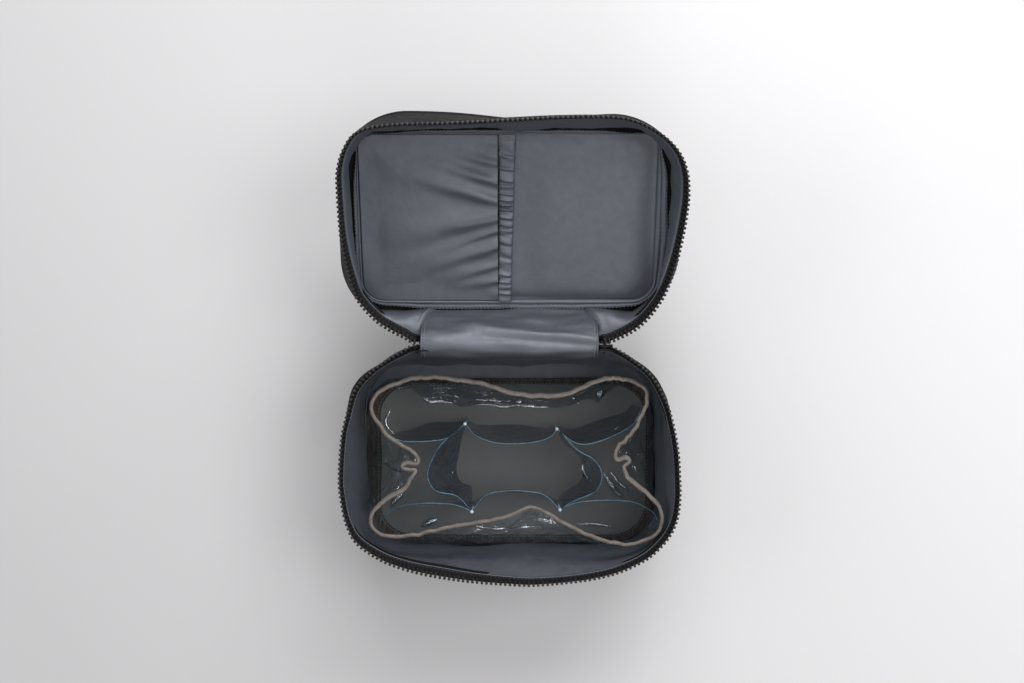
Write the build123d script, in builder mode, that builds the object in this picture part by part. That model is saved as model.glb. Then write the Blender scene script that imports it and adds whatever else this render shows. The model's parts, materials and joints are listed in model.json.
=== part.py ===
from build123d import *
import os
from math import cos, radians, sin

os.makedirs("parts", exist_ok=True)

# Soft zipped vanity case with its lid laid open and a lift-out clear organiser.
# Millimetres. The origin is the middle of the bottom face, X runs along the
# hinge, Y points to the hinge and the opened lid, and Z is up.

# Overall sizes of the shut case
length = 240.0  # outside, along the hinge
width = 160.0  # outside, front to back
corner_radius = 42.0  # outside corners, seen from above
base_height = 100.0  # bottom face to the middle of the zip
lid_depth = 38.0  # middle of the zip to the outside of the lid's top
lid_open_angle = 158.0  # turn of the lid from shut, as it lies open

# Layers of a wall, from outside to inside
outer_cloth = 1.0
foam_thickness = 2.0
lining_cloth = 0.6
layer_gap = 0.3  # free space between two pieces that lie on each other

# Bottom of the base and top of the lid
board_thickness = 2.0
board_margin = 1.2  # board's edge to the edge of the cloth panel
piping_radius = 2.0
piping_inset = 1.0  # outer face of the wall to the piping's core
piping_lift = 0.2  # piping's lowest line above the panel's outer face

# Bound seams inside
binding_thickness = 1.6
binding_height = 6.5
base_binding_gap = 0.6  # lining wall to the binding in the base
lid_binding_gap = 5.8  # lining wall to the binding in the lid

# Zip
tape_thickness = 0.8
tape_reach = 9.0  # wall's seam to the middle of the zip
tape_tuck = 6.0  # tape held inside the wall's seam
tooth_pitch = 3.3
tooth_width = 1.35
tooth_neck = 0.8
tooth_root = 2.9  # middle of the zip to the tape's side of a tooth
tooth_tip = 1.2  # middle of the zip to the far end of a tooth
tooth_thickness = 2.4
tooth_start_angle = 35.0  # first tooth, from the start of the back corner

# Hinge between base and lid
hinge_panel_width = 100.0
hinge_lining_width = 127.0
hinge_lining_base_lap = 16.0  # strip below the middle of the zip, on the base
hinge_lining_lid_lap = 20.0  # strip past the middle of the zip, on the lid
hinge_fold = 1.9  # gap between the two sides of the outer fold at its top
hinge_lining_rise = 6.5  # crown of the lining strip above the middle of the zip
hinge_lining_crown = 10.8  # flat length of that crown
lining_fold_radius = 1.5

# Closed ends of the zip, and the sliders on them
zip_end_start = 52.0
slider_left_place = 60.5  # middle of the hinge to the left slider's middle
slider_right_place = 66.5
slider_length = 11.0
slider_width = 8.8
slider_plate = 0.9
slider_play = 0.4  # tooth's face to the slider's plate
slider_flange = 1.1
divider_post_start = 1.6  # slider's middle to the post that parts the teeth
divider_post_length = 3.2
divider_post_width = 3.2
pull_post_radius = 1.4
pull_head_radius = 2.4
pull_head_thickness = 0.7
pull_eye_radius = 1.6
pull_width = 7.0
pull_length = 26.0
pull_corner = 3.4
pull_thickness = 1.4

# Pocket on the lid's panel
pocket_margin = 1.2  # seam binding to the pocket's edge
pocket_mouth = -9.5  # X of the seam between pocket and casing
pocket_thickness = 1.4
casing_width = 13.0
casing_height = 3.2
casing_cloth = 0.6
elastic_width = 8.0
elastic_thickness = 1.2
elastic_end_gap = 3.0

# Carry handle on the lid's outside
handle_width = 25.0
handle_thickness = 1.6
handle_span = 150.0
handle_foot = 26.0  # length sewn flat at each end
handle_rise = 15.0
handle_slope = 16.0  # horizontal run from foot to crown
handle_bend = 9.0

# Clear organiser
organiser_side_gap = 2.6  # seam binding to the organiser, left and right
organiser_front_gap = 0.9
organiser_back_space = 18.3
organiser_height = 85.0
clear_sheet = 0.8
edge_tape = 0.9  # thickness of the binding tape
edge_tape_height = 7.0
edge_tape_play = 0.3
floor_binding_height = 10.0
divider_height = 60.0
anchor_x = 33.0  # organiser's middle to the welds between the dividers
anchor_share = 0.492  # share of the organiser's half depth where the welds are
scallop = 12.0  # how far a divider sags in between two welds
divider_end_gap = 5.0  # start of the rounded corner to the end of a long divider
side_bulge = 27.0  # welds to the outermost point of a side divider
back_branch = 0.82  # share of an outer arc's length where a side divider is welded on
front_branch = 0.9

# Places of the layers, measured in from the outer face of the wall
foam_inset = outer_cloth + layer_gap
lining_inset = foam_inset + foam_thickness + layer_gap
inner_inset = lining_inset + lining_cloth
panel_inset = piping_inset + piping_radius + layer_gap
board_inset = panel_inset + board_margin
flat_lining_inset = panel_inset + layer_gap
base_binding_inset = inner_inset + base_binding_gap
lid_binding_inset = inner_inset + lid_binding_gap
chain_inset = foam_inset + tape_thickness / 2

# Heights of the layers, measured in from the outer face of the panel
board_low = outer_cloth + layer_gap
lining_low = board_low + board_thickness + layer_gap
lining_high = lining_low + lining_cloth
piping_core = piping_lift + piping_radius
wall_start = max(lining_high, piping_core + piping_radius) + layer_gap
tape_edge = tooth_root + layer_gap

# The lid is drawn as if shut, on a plane that turns with it about the hinge line.
hinge_y = width / 2
turn = radians(lid_open_angle)
lid_plane = Plane(
    origin=(0, hinge_y, base_height),
    x_dir=(1, 0, 0),
    z_dir=(0, sin(turn), cos(turn)),
)
lid_middle = -width / 2

# The straight back ends at corner_x, where the open tapes begin.
corner_x = length / 2 - corner_radius
corner_y = width / 2 - corner_radius
tape_start = corner_x + layer_gap


def case_outline(inset, middle_y=0.0, mode=Mode.ADD):
    """Draw the case's rounded outline, moved inwards by inset."""
    with Locations((0, middle_y)):
        RectangleRounded(
            length - 2 * inset, width - 2 * inset, corner_radius - inset, mode=mode
        )


def piping_loop(middle_y=0.0):
    """Draw the line that the piping's core follows round the case."""
    half_length = length / 2 - piping_inset
    half_width = width / 2 - piping_inset
    FilletPolyline(
        (-half_length, middle_y - half_width),
        (half_length, middle_y - half_width),
        (half_length, middle_y + half_width),
        (-half_length, middle_y + half_width),
        radius=corner_radius - piping_inset,
        close=True,
    )


def back_gap(half_width, middle_y=0.0):
    """Cut a drawn ring open at the back, on both sides of the hinge's middle."""
    with Locations((0, middle_y + width / 2)):
        Rectangle(2 * half_width, corner_radius, mode=Mode.SUBTRACT)


def opened(forward, up):
    """Y and Z of a point of the lid, given where it is when the lid is shut."""
    return (
        hinge_y - forward * cos(turn) + up * sin(turn),
        base_height + forward * sin(turn) + up * cos(turn),
    )


# Base: outer cloth, piping and board

base_wall_top = base_height - tape_reach

with BuildPart() as base_outer_wall:
    with BuildSketch(Plane.XY.offset(wall_start)):
        case_outline(0)
        case_outline(outer_cloth, mode=Mode.SUBTRACT)
    extrude(amount=base_wall_top - wall_start)
base_outer_wall.part.label = "base_outer_wall"
export_step(base_outer_wall.part, "parts/base_outer_wall.step")

with BuildPart() as base_bottom_panel:
    with BuildSketch():
        case_outline(panel_inset)
    extrude(amount=outer_cloth)
base_bottom_panel.part.label = "base_bottom_panel"
export_step(base_bottom_panel.part, "parts/base_bottom_panel.step")

with BuildPart() as base_bottom_piping:
    with BuildLine(Plane.XY.offset(piping_core)) as piping_run:
        piping_loop()
    with BuildSketch(Plane(origin=piping_run.line @ 0, z_dir=piping_run.line % 0)):
        Circle(piping_radius)
    sweep()
base_bottom_piping.part.label = "base_bottom_piping"
export_step(base_bottom_piping.part, "parts/base_bottom_piping.step")

with BuildPart() as base_bottom_board:
    with BuildSketch(Plane.XY.offset(board_low)):
        case_outline(board_inset)
    extrude(amount=board_thickness)
base_bottom_board.part.label = "base_bottom_board"
export_step(base_bottom_board.part, "parts/base_bottom_board.step")

# Base: foam, lining and the bound seam

base_tape_low = base_wall_top - tape_tuck

with BuildPart() as base_foam_wall:
    with BuildSketch(Plane.XY.offset(wall_start)):
        case_outline(foam_inset)
        case_outline(foam_inset + foam_thickness, mode=Mode.SUBTRACT)
    extrude(amount=base_tape_low - layer_gap - wall_start)
base_foam_wall.part.label = "base_foam_wall"
export_step(base_foam_wall.part, "parts/base_foam_wall.step")

with BuildPart() as base_lining_wall:
    with BuildSketch(Plane.XY.offset(wall_start)):
        case_outline(lining_inset)
        case_outline(inner_inset, mode=Mode.SUBTRACT)
    extrude(amount=base_wall_top - wall_start)
base_lining_wall.part.label = "base_lining_wall"
export_step(base_lining_wall.part, "parts/base_lining_wall.step")

with BuildPart() as base_lining_floor:
    with BuildSketch(Plane.XY.offset(lining_low)):
        case_outline(flat_lining_inset)
    extrude(amount=lining_cloth)
base_lining_floor.part.label = "base_lining_floor"
export_step(base_lining_floor.part, "parts/base_lining_floor.step")

with BuildPart() as base_seam_binding:
    with BuildSketch(Plane.XY.offset(wall_start)):
        case_outline(base_binding_inset)
        case_outline(base_binding_inset + binding_thickness, mode=Mode.SUBTRACT)
    extrude(amount=binding_height)
base_seam_binding.part.label = "base_seam_binding"
export_step(base_seam_binding.part, "parts/base_seam_binding.step")

# Zip: tapes and teeth of both halves

with BuildPart() as base_zip_tape:
    with BuildSketch(Plane.XY.offset(base_tape_low)):
        case_outline(foam_inset)
        case_outline(foam_inset + tape_thickness, mode=Mode.SUBTRACT)
        back_gap(tape_start)
    extrude(amount=base_height - tape_edge - base_tape_low)
base_zip_tape.part.label = "base_zip_tape"
export_step(base_zip_tape.part, "parts/base_zip_tape.step")

with BuildPart() as lid_zip_tape:
    with BuildSketch(lid_plane.offset(tape_edge)):
        case_outline(foam_inset, lid_middle)
        case_outline(foam_inset + tape_thickness, lid_middle, mode=Mode.SUBTRACT)
        back_gap(tape_start, lid_middle)
    extrude(amount=tape_reach + tape_tuck - tape_edge)
lid_zip_tape.part.label = "lid_zip_tape"
export_step(lid_zip_tape.part, "parts/lid_zip_tape.step")

chain_radius = corner_radius - chain_inset
corner_turn = 90 - tooth_start_angle

with BuildLine() as zip_run:
    CenterArc((corner_x, corner_y), chain_radius, corner_turn, -corner_turn)
    Line((corner_x + chain_radius, corner_y), (corner_x + chain_radius, -corner_y))
    CenterArc((corner_x, -corner_y), chain_radius, 0, -90)
    Line((corner_x, -corner_y - chain_radius), (-corner_x, -corner_y - chain_radius))
    CenterArc((-corner_x, -corner_y), chain_radius, 270, -90)
    Line((-corner_x - chain_radius, -corner_y), (-corner_x - chain_radius, corner_y))
    CenterArc((-corner_x, corner_y), chain_radius, 180, -corner_turn)
zip_path = zip_run.wire()
tooth_count = int(zip_path.length / tooth_pitch) - 1

with BuildPart() as tooth:
    with BuildSketch(Plane.XZ.offset(-tooth_thickness / 2)):
        with BuildLine():
            Polyline(
                (-tooth_neck / 2, -tooth_root),
                (tooth_neck / 2, -tooth_root),
                (tooth_width / 2, -tooth_tip),
                (tooth_width / 2, tooth_tip / 2),
                (tooth_neck / 2, tooth_tip),
                (-tooth_neck / 2, tooth_tip),
                (-tooth_width / 2, tooth_tip / 2),
                (-tooth_width / 2, -tooth_tip),
                close=True,
            )
        make_face()
    extrude(amount=tooth_thickness)


def tooth_places(shift, middle_y, up):
    """Places of a row of teeth along the zip, with the teeth's tips towards up."""
    places = []
    for number in range(tooth_count):
        distance = (number + shift) * tooth_pitch
        point = zip_path.position_at(distance, PositionMode.LENGTH)
        along = zip_path.tangent_at(distance, PositionMode.LENGTH)
        spot = Plane(origin=(point.X, point.Y + middle_y, 0), x_dir=along, z_dir=(0, 0, up))
        places.append(spot.location)
    return places


with BuildPart() as base_zip_teeth:
    with Locations(*[Location((0, 0, base_height)) * spot for spot in tooth_places(0.5, 0, 1)]):
        add(tooth.part)
base_zip_teeth.part.label = "base_zip_teeth"
export_step(base_zip_teeth.part, "parts/base_zip_teeth.step")

with BuildPart() as lid_zip_teeth:
    with Locations(*[lid_plane.location * spot for spot in tooth_places(1, lid_middle, -1)]):
        add(tooth.part)
lid_zip_teeth.part.label = "lid_zip_teeth"
export_step(lid_zip_teeth.part, "parts/lid_zip_teeth.step")

# Lid: outer cloth, piping and board

lid_wall_height = lid_depth - wall_start - tape_reach

with BuildPart() as lid_outer_wall:
    with BuildSketch(lid_plane.offset(tape_reach)):
        case_outline(0, lid_middle)
        case_outline(outer_cloth, lid_middle, mode=Mode.SUBTRACT)
    extrude(amount=lid_wall_height)
lid_outer_wall.part.label = "lid_outer_wall"
export_step(lid_outer_wall.part, "parts/lid_outer_wall.step")

with BuildPart() as lid_outer_top:
    with BuildSketch(lid_plane.offset(lid_depth - outer_cloth)):
        case_outline(panel_inset, lid_middle)
    extrude(amount=outer_cloth)
lid_outer_top.part.label = "lid_outer_top"
export_step(lid_outer_top.part, "parts/lid_outer_top.step")

with BuildPart() as lid_top_piping:
    with BuildLine(lid_plane.offset(lid_depth - piping_core)) as lid_piping_run:
        piping_loop(lid_middle)
    with BuildSketch(Plane(origin=lid_piping_run.line @ 0, z_dir=lid_piping_run.line % 0)):
        Circle(piping_radius)
    sweep()
lid_top_piping.part.label = "lid_top_piping"
export_step(lid_top_piping.part, "parts/lid_top_piping.step")

with BuildPart() as lid_top_board:
    with BuildSketch(lid_plane.offset(lid_depth - board_low - board_thickness)):
        case_outline(board_inset, lid_middle)
    extrude(amount=board_thickness)
lid_top_board.part.label = "lid_top_board"
export_step(lid_top_board.part, "parts/lid_top_board.step")

# Lid: foam, lining and the bound seam round its panel

lid_wall_top = lid_depth - wall_start
lid_foam_low = tape_reach + tape_tuck + layer_gap

with BuildPart() as lid_foam:
    with BuildSketch(lid_plane.offset(lid_foam_low)):
        case_outline(foam_inset, lid_middle)
        case_outline(foam_inset + foam_thickness, lid_middle, mode=Mode.SUBTRACT)
    extrude(amount=lid_wall_top - lid_foam_low)
lid_foam.part.label = "lid_foam"
export_step(lid_foam.part, "parts/lid_foam.step")

with BuildPart() as lid_lining_wall:
    with BuildSketch(lid_plane.offset(tape_reach)):
        case_outline(lining_inset, lid_middle)
        case_outline(inner_inset, lid_middle, mode=Mode.SUBTRACT)
    extrude(amount=lid_wall_height)
lid_lining_wall.part.label = "lid_lining_wall"
export_step(lid_lining_wall.part, "parts/lid_lining_wall.step")

with BuildPart() as lid_panel:
    with BuildSketch(lid_plane.offset(lid_depth - lining_high)):
        case_outline(flat_lining_inset, lid_middle)
    extrude(amount=lining_cloth)
lid_panel.part.label = "lid_panel"
export_step(lid_panel.part, "parts/lid_panel.step")

with BuildPart() as lid_seam_binding:
    with BuildSketch(lid_plane.offset(lid_wall_top - binding_height)):
        case_outline(lid_binding_inset, lid_middle)
        case_outline(lid_binding_inset + binding_thickness, lid_middle, mode=Mode.SUBTRACT)
    extrude(amount=binding_height)
lid_seam_binding.part.label = "lid_seam_binding"
export_step(lid_seam_binding.part, "parts/lid_seam_binding.step")

# Pocket over the left half of the lid's panel, its casing and elastic

pocket_inset = lid_binding_inset + binding_thickness + pocket_margin
casing_depth = width - 2 * pocket_inset
casing_middle = pocket_mouth + layer_gap + casing_width / 2

with BuildPart() as lid_gathered_pocket:
    with BuildSketch(lid_plane.offset(lid_wall_top - pocket_thickness)):
        case_outline(pocket_inset, lid_middle)
        with Locations((pocket_mouth, lid_middle)):
            Rectangle(length, width, align=(Align.MIN, Align.CENTER), mode=Mode.SUBTRACT)
    extrude(amount=pocket_thickness)
lid_gathered_pocket.part.label = "lid_gathered_pocket"
export_step(lid_gathered_pocket.part, "parts/lid_gathered_pocket.step")

casing_plane = Plane(
    origin=lid_plane.from_local_coords((casing_middle, lid_middle, lid_wall_top)),
    x_dir=lid_plane.x_dir,
    z_dir=lid_plane.y_dir,
)

with BuildPart() as lid_pocket_casing:
    with BuildSketch(casing_plane):
        with Locations((0, casing_height / 2)):
            Rectangle(casing_width, casing_height)
            Rectangle(
                casing_width - 2 * casing_cloth,
                casing_height - 2 * casing_cloth,
                mode=Mode.SUBTRACT,
            )
    extrude(amount=casing_depth / 2, both=True)
lid_pocket_casing.part.label = "lid_pocket_casing"
export_step(lid_pocket_casing.part, "parts/lid_pocket_casing.step")

with BuildPart() as lid_pocket_elastic:
    with BuildSketch(casing_plane):
        with Locations((0, casing_height / 2)):
            Rectangle(elastic_width, elastic_thickness)
    extrude(amount=casing_depth / 2 - elastic_end_gap, both=True)
lid_pocket_elastic.part.label = "lid_pocket_elastic"
export_step(lid_pocket_elastic.part, "parts/lid_pocket_elastic.step")

# Carry handle, sewn flat at both ends

handle_plane = Plane(
    origin=lid_plane.from_local_coords((0, lid_middle, lid_depth + layer_gap)),
    x_dir=lid_plane.x_dir,
    z_dir=-lid_plane.y_dir,
)
handle_half = handle_span / 2
handle_turn = handle_half - handle_foot
handle_low = handle_thickness / 2
handle_high = handle_low + handle_rise

with BuildPart() as carry_handle:
    with BuildSketch(handle_plane):
        with BuildLine() as handle_run:
            FilletPolyline(
                (-handle_half, handle_low),
                (-handle_turn, handle_low),
                (-handle_turn + handle_slope, handle_high),
                (handle_turn - handle_slope, handle_high),
                (handle_turn, handle_low),
                (handle_half, handle_low),
                radius=handle_bend,
            )
        trace(line_width=handle_thickness)
    extrude(amount=handle_width / 2, both=True)
carry_handle.part.label = "carry_handle"
export_step(carry_handle.part, "parts/carry_handle.step")

# Hinge: the outer fold and the lining strip, as they lie with the lid open

fold_y = hinge_y - outer_cloth / 2
strip_y = hinge_y - inner_inset - layer_gap - lining_cloth / 2
strip_top = base_height + hinge_lining_rise

with BuildPart() as hinge_outer_panel:
    with BuildSketch(Plane.YZ):
        with BuildLine() as fold_run:
            FilletPolyline(
                (fold_y, base_wall_top + layer_gap),
                (fold_y, base_height + hinge_fold),
                (fold_y + hinge_fold, base_height + hinge_fold),
                opened(outer_cloth / 2, tape_reach - 2 * layer_gap),
                radius=outer_cloth * 0.9,
            )
        trace(line_width=outer_cloth)
    extrude(amount=hinge_panel_width / 2, both=True)
hinge_outer_panel.part.label = "hinge_outer_panel"
export_step(hinge_outer_panel.part, "parts/hinge_outer_panel.step")

with BuildPart() as hinge_lining_strip:
    with BuildSketch(Plane.YZ):
        with BuildLine() as strip_run:
            FilletPolyline(
                (strip_y, base_height - hinge_lining_base_lap),
                (strip_y, strip_top),
                (strip_y + hinge_lining_crown, strip_top),
                opened(inner_inset + layer_gap + lining_cloth / 2, hinge_lining_lid_lap),
                radius=lining_fold_radius,
            )
        trace(line_width=lining_cloth)
    extrude(amount=hinge_lining_width / 2, both=True)
hinge_lining_strip.part.label = "hinge_lining_strip"
export_step(hinge_lining_strip.part, "parts/hinge_lining_strip.step")

# Closed ends of the zip beside the hinge, and a slider with its pull on each

chain_y = hinge_y - chain_inset
chain_high = tooth_root + tape_edge - tooth_tip
channel_half = tooth_thickness / 2 + slider_play
flange_height = channel_half - tape_thickness / 2 - layer_gap
pull_low = channel_half + slider_plate + layer_gap
head_low = pull_low + pull_thickness + layer_gap

for name, side, place in (
    ("left", -1, slider_left_place),
    ("right", 1, slider_right_place),
):
    slider_plane = Plane(
        origin=(side * place, chain_y, base_height), x_dir=(side, 0, 0), z_dir=(0, 1, 0)
    )
    chain_end = place + divider_post_start - layer_gap
    end_teeth = int((chain_end - zip_end_start) / tooth_pitch - 0.5)

    with BuildPart() as zip_end:
        with BuildSketch(Plane.XZ.offset(-chain_y - tape_thickness / 2)):
            with BuildLine():
                Polyline(
                    (side * zip_end_start, base_tape_low),
                    (side * corner_x, base_tape_low),
                    (side * corner_x, base_height - tape_edge),
                    (side * chain_end, base_height - tape_edge),
                    (side * chain_end, base_height + chain_high),
                    (side * zip_end_start, base_height + chain_high),
                    close=True,
                )
            make_face()
        extrude(amount=tape_thickness)
        for number in range(end_teeth):
            for shift, up in ((0.5, 1), (1.0, -1)):
                tooth_x = side * (zip_end_start + (number + shift) * tooth_pitch)
                spot = Plane(
                    origin=(tooth_x, chain_y, base_height), x_dir=(1, 0, 0), z_dir=(0, 0, up)
                )
                with Locations(spot):
                    add(tooth.part)
    zip_end.part.label = "zip_end_" + name
    export_step(zip_end.part, "parts/zip_end_" + name + ".step")

    with BuildPart() as slider:
        with BuildSketch(slider_plane.offset(channel_half)):
            RectangleRounded(slider_length, slider_width, slider_width / 4)
        extrude(amount=slider_plate)
        with BuildSketch(slider_plane.offset(-channel_half)):
            RectangleRounded(slider_length, slider_width, slider_width / 4)
        extrude(amount=-slider_plate)
        flange_y = slider_width / 2 - slider_flange / 2
        flange_length = slider_length - slider_width / 2
        with BuildSketch(slider_plane.offset(channel_half)):
            with Locations((0, -flange_y), (0, flange_y)):
                Rectangle(flange_length, slider_flange)
        extrude(amount=-flange_height)
        with BuildSketch(slider_plane.offset(-channel_half)):
            with Locations((0, -flange_y), (0, flange_y)):
                Rectangle(flange_length, slider_flange)
        extrude(amount=flange_height)
        post_end = divider_post_start + divider_post_length
        with BuildSketch(slider_plane.offset(-channel_half)):
            with BuildLine():
                Polyline(
                    (divider_post_start, 0),
                    (post_end, -divider_post_width / 2),
                    (post_end, divider_post_width / 2),
                    close=True,
                )
            make_face()
        extrude(amount=2 * channel_half)
        with BuildSketch(slider_plane.offset(channel_half + slider_plate)):
            Circle(pull_post_radius)
        extrude(amount=head_low - channel_half - slider_plate)
        with BuildSketch(slider_plane.offset(head_low)):
            Circle(pull_head_radius)
        extrude(amount=pull_head_thickness)
    slider.part.label = "slider_" + name
    export_step(slider.part, "parts/slider_" + name + ".step")

    pull_plane = Plane(
        origin=(side * place, chain_y + pull_low, base_height), x_dir=(1, 0, 0), z_dir=(0, 1, 0)
    )
    with BuildPart() as pull:
        with BuildSketch(pull_plane):
            with Locations((0, pull_length / 2 - pull_width / 2)):
                RectangleRounded(pull_width, pull_length, pull_corner)
            Circle(pull_eye_radius, mode=Mode.SUBTRACT)
        extrude(amount=pull_thickness)
    pull.part.label = "pull_" + name
    export_step(pull.part, "parts/pull_" + name + ".step")

# Clear organiser: floor, walls and the tape that binds their edges

binding_inner = base_binding_inset + binding_thickness
organiser_inset = binding_inner + organiser_side_gap
organiser_length = length - 2 * organiser_inset
organiser_depth = width - 2 * binding_inner - organiser_front_gap - organiser_back_space
organiser_corner = corner_radius - organiser_inset
organiser_y = (organiser_front_gap - organiser_back_space) / 2
organiser_low = wall_start
sheet_inset = edge_tape + edge_tape_play
organiser_plane = Plane((0, organiser_y, organiser_low))
wall_low = clear_sheet + layer_gap


def organiser_outline(inset, mode=Mode.ADD):
    """Draw the organiser's rounded outline, moved inwards by inset."""
    RectangleRounded(
        organiser_length - 2 * inset,
        organiser_depth - 2 * inset,
        organiser_corner - inset,
        mode=mode,
    )


with BuildPart() as organiser_floor:
    with BuildSketch(organiser_plane):
        organiser_outline(sheet_inset)
    extrude(amount=clear_sheet)
organiser_floor.part.label = "organiser_floor"
export_step(organiser_floor.part, "parts/organiser_floor.step")

with BuildPart() as organiser_walls:
    with BuildSketch(organiser_plane.offset(wall_low)):
        organiser_outline(sheet_inset)
        organiser_outline(sheet_inset + clear_sheet, mode=Mode.SUBTRACT)
    extrude(amount=organiser_height - edge_tape - edge_tape_play - wall_low)
organiser_walls.part.label = "organiser_walls"
export_step(organiser_walls.part, "parts/organiser_walls.step")

with BuildPart() as organiser_base_binding:
    with BuildSketch(organiser_plane):
        organiser_outline(0)
        organiser_outline(edge_tape, mode=Mode.SUBTRACT)
    extrude(amount=floor_binding_height)
organiser_base_binding.part.label = "organiser_base_binding"
export_step(organiser_base_binding.part, "parts/organiser_base_binding.step")

rim_inner = sheet_inset + clear_sheet + edge_tape_play + edge_tape

with BuildPart() as organiser_rim_binding:
    with BuildSketch(organiser_plane.offset(organiser_height - edge_tape_height)):
        organiser_outline(0)
        organiser_outline(rim_inner, mode=Mode.SUBTRACT)
    extrude(amount=edge_tape_height)
    with BuildSketch(organiser_plane.offset(organiser_height - edge_tape_height)):
        organiser_outline(edge_tape)
        organiser_outline(rim_inner - edge_tape, mode=Mode.SUBTRACT)
    extrude(amount=edge_tape_height - edge_tape, mode=Mode.SUBTRACT)
organiser_rim_binding.part.label = "organiser_rim_binding"
export_step(organiser_rim_binding.part, "parts/organiser_rim_binding.step")

# Dividers: two long strips that sag between their welds, and two short side strips

divider_end_x = organiser_length / 2 - sheet_inset - clear_sheet - layer_gap
divider_end_y = organiser_depth / 2 - organiser_corner - divider_end_gap
anchor_y = anchor_share * organiser_depth / 2


def outer_arc(side, end):
    """Arc of a long divider from the wall at one end to its first weld."""
    return ThreePointArc(
        (end * divider_end_x, side * divider_end_y),
        (end * (divider_end_x + anchor_x) / 2, side * (anchor_y - scallop)),
        (end * anchor_x, side * anchor_y),
    )


def long_divider(side):
    """The three arcs of a long divider, at the back or at the front."""
    middle_arc = ThreePointArc(
        (-anchor_x, side * anchor_y),
        (0, side * (anchor_y - scallop)),
        (anchor_x, side * anchor_y),
    )
    return [outer_arc(side, -1), middle_arc, outer_arc(side, 1)]


for name, side in (("back", 1), ("front", -1)):
    strip = long_divider(side)
    with BuildPart() as divider:
        with BuildSketch(organiser_plane.offset(wall_low)):
            for arc in strip:
                trace(arc, clear_sheet)
        extrude(amount=divider_height)
    divider.part.label = "divider_" + name
    export_step(divider.part, "parts/divider_" + name + ".step")

for name, end in (("left", -1), ("right", 1)):
    bowed_arc = ThreePointArc(
        outer_arc(1, end) @ back_branch,
        (end * (anchor_x + side_bulge), 0),
        outer_arc(-1, end) @ front_branch,
    )
    strips = long_divider(1) + long_divider(-1)
    with BuildPart() as divider:
        with BuildSketch(organiser_plane.offset(wall_low)):
            trace(bowed_arc, clear_sheet)
            for arc in strips:
                trace(arc, clear_sheet + 2 * layer_gap, mode=Mode.SUBTRACT)
        extrude(amount=divider_height)
    divider.part.label = "divider_" + name
    export_step(divider.part, "parts/divider_" + name + ".step")
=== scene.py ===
"""Soft zipped vanity case, laid open, with a lift-out clear organiser."""

import json
import math

import bpy
import numpy as np
from bpy.props import FloatProperty, FloatVectorProperty, PointerProperty
from bpy.types import Operator, Panel, PropertyGroup
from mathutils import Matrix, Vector, noise


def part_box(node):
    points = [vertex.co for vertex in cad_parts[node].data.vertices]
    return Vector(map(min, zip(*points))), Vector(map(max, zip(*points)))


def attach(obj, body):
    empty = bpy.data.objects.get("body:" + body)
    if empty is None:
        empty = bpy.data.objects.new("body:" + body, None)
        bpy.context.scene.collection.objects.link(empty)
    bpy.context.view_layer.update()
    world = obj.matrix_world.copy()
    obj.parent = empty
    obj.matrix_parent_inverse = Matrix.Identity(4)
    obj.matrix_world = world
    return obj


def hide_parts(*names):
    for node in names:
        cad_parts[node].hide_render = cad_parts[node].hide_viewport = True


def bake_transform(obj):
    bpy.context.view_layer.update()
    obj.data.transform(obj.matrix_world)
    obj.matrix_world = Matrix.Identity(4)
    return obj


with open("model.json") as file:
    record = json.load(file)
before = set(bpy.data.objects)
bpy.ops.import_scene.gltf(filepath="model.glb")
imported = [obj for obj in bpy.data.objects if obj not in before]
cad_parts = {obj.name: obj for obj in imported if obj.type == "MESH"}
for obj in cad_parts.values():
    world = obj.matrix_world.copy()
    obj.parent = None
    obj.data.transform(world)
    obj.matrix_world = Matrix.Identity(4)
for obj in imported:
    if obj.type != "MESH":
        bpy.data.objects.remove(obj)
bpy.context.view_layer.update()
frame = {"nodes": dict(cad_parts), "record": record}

bl_info = {
    "name": "Vanity case",
    "version": (1, 0, 0),
    "blender": (4, 5, 0),
    "location": "3D view > Sidebar > Vanity case",
    "description": "Makes an open soft vanity case with its zip, linings, pocket and clear organiser",
    "category": "Add Mesh",
}

MM = 0.001
CAMERA_PLACE = (0.0014, 0.0828, 1.05)
AROUND = 360  # points round the case in every wall

# Lines of the case as it lies, seen square to the rim, in millimetres.
# Each runs anticlockwise from the hinge's right end: the outer ends of the zip's teeth.
BASE_TEETH_LINE = (
    (30, 80.9), (-30, 80.9), (-64.6, 80.7), (-77, 75.2), (-89.5, 67.5), (-100.5, 58.8),
    (-109.6, 47.3), (-114.6, 31), (-118.3, 14), (-120, -14), (-118.6, -29), (-115, -45.5),
    (-108, -59), (-91.3, -70.9), (-74, -77.8), (-55, -82.6), (-31, -86), (-4, -88),
    (15, -88.7), (36, -87.2), (56, -84.6), (74, -80.4), (91.3, -73), (102, -65.6),
    (112, -54.3), (117.3, -42.6), (119.4, -28), (119.3, -14), (117.8, 8), (112.4, 33),
    (106.8, 46.2), (100.2, 57.2), (91, 66.2), (77, 76.2), (65.3, 80.3),
)
# The same for the lid, with the distance from the hinge line as the second number.
LID_TEETH_LINE = (
    (65, 1.5), (77, 5.2), (88.5, 12), (98, 22), (106.5, 36), (112.4, 53), (116.6, 72), (119.4, 92),
    (120.4, 110), (118, 127), (110.5, 141), (97, 152.5), (79, 160.2), (59, 162), (30, 161.4),
    (0, 159.6), (-40, 157.6), (-80, 156.4), (-101, 151.6), (-110.6, 140), (-115.2, 126),
    (-116, 112), (-115, 78), (-111.4, 53), (-105.9, 34), (-94.5, 19), (-85, 11.6),
    (-75, 6), (-64.5, 1.5), (-30, 1.5), (30, 1.5),
)
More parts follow.
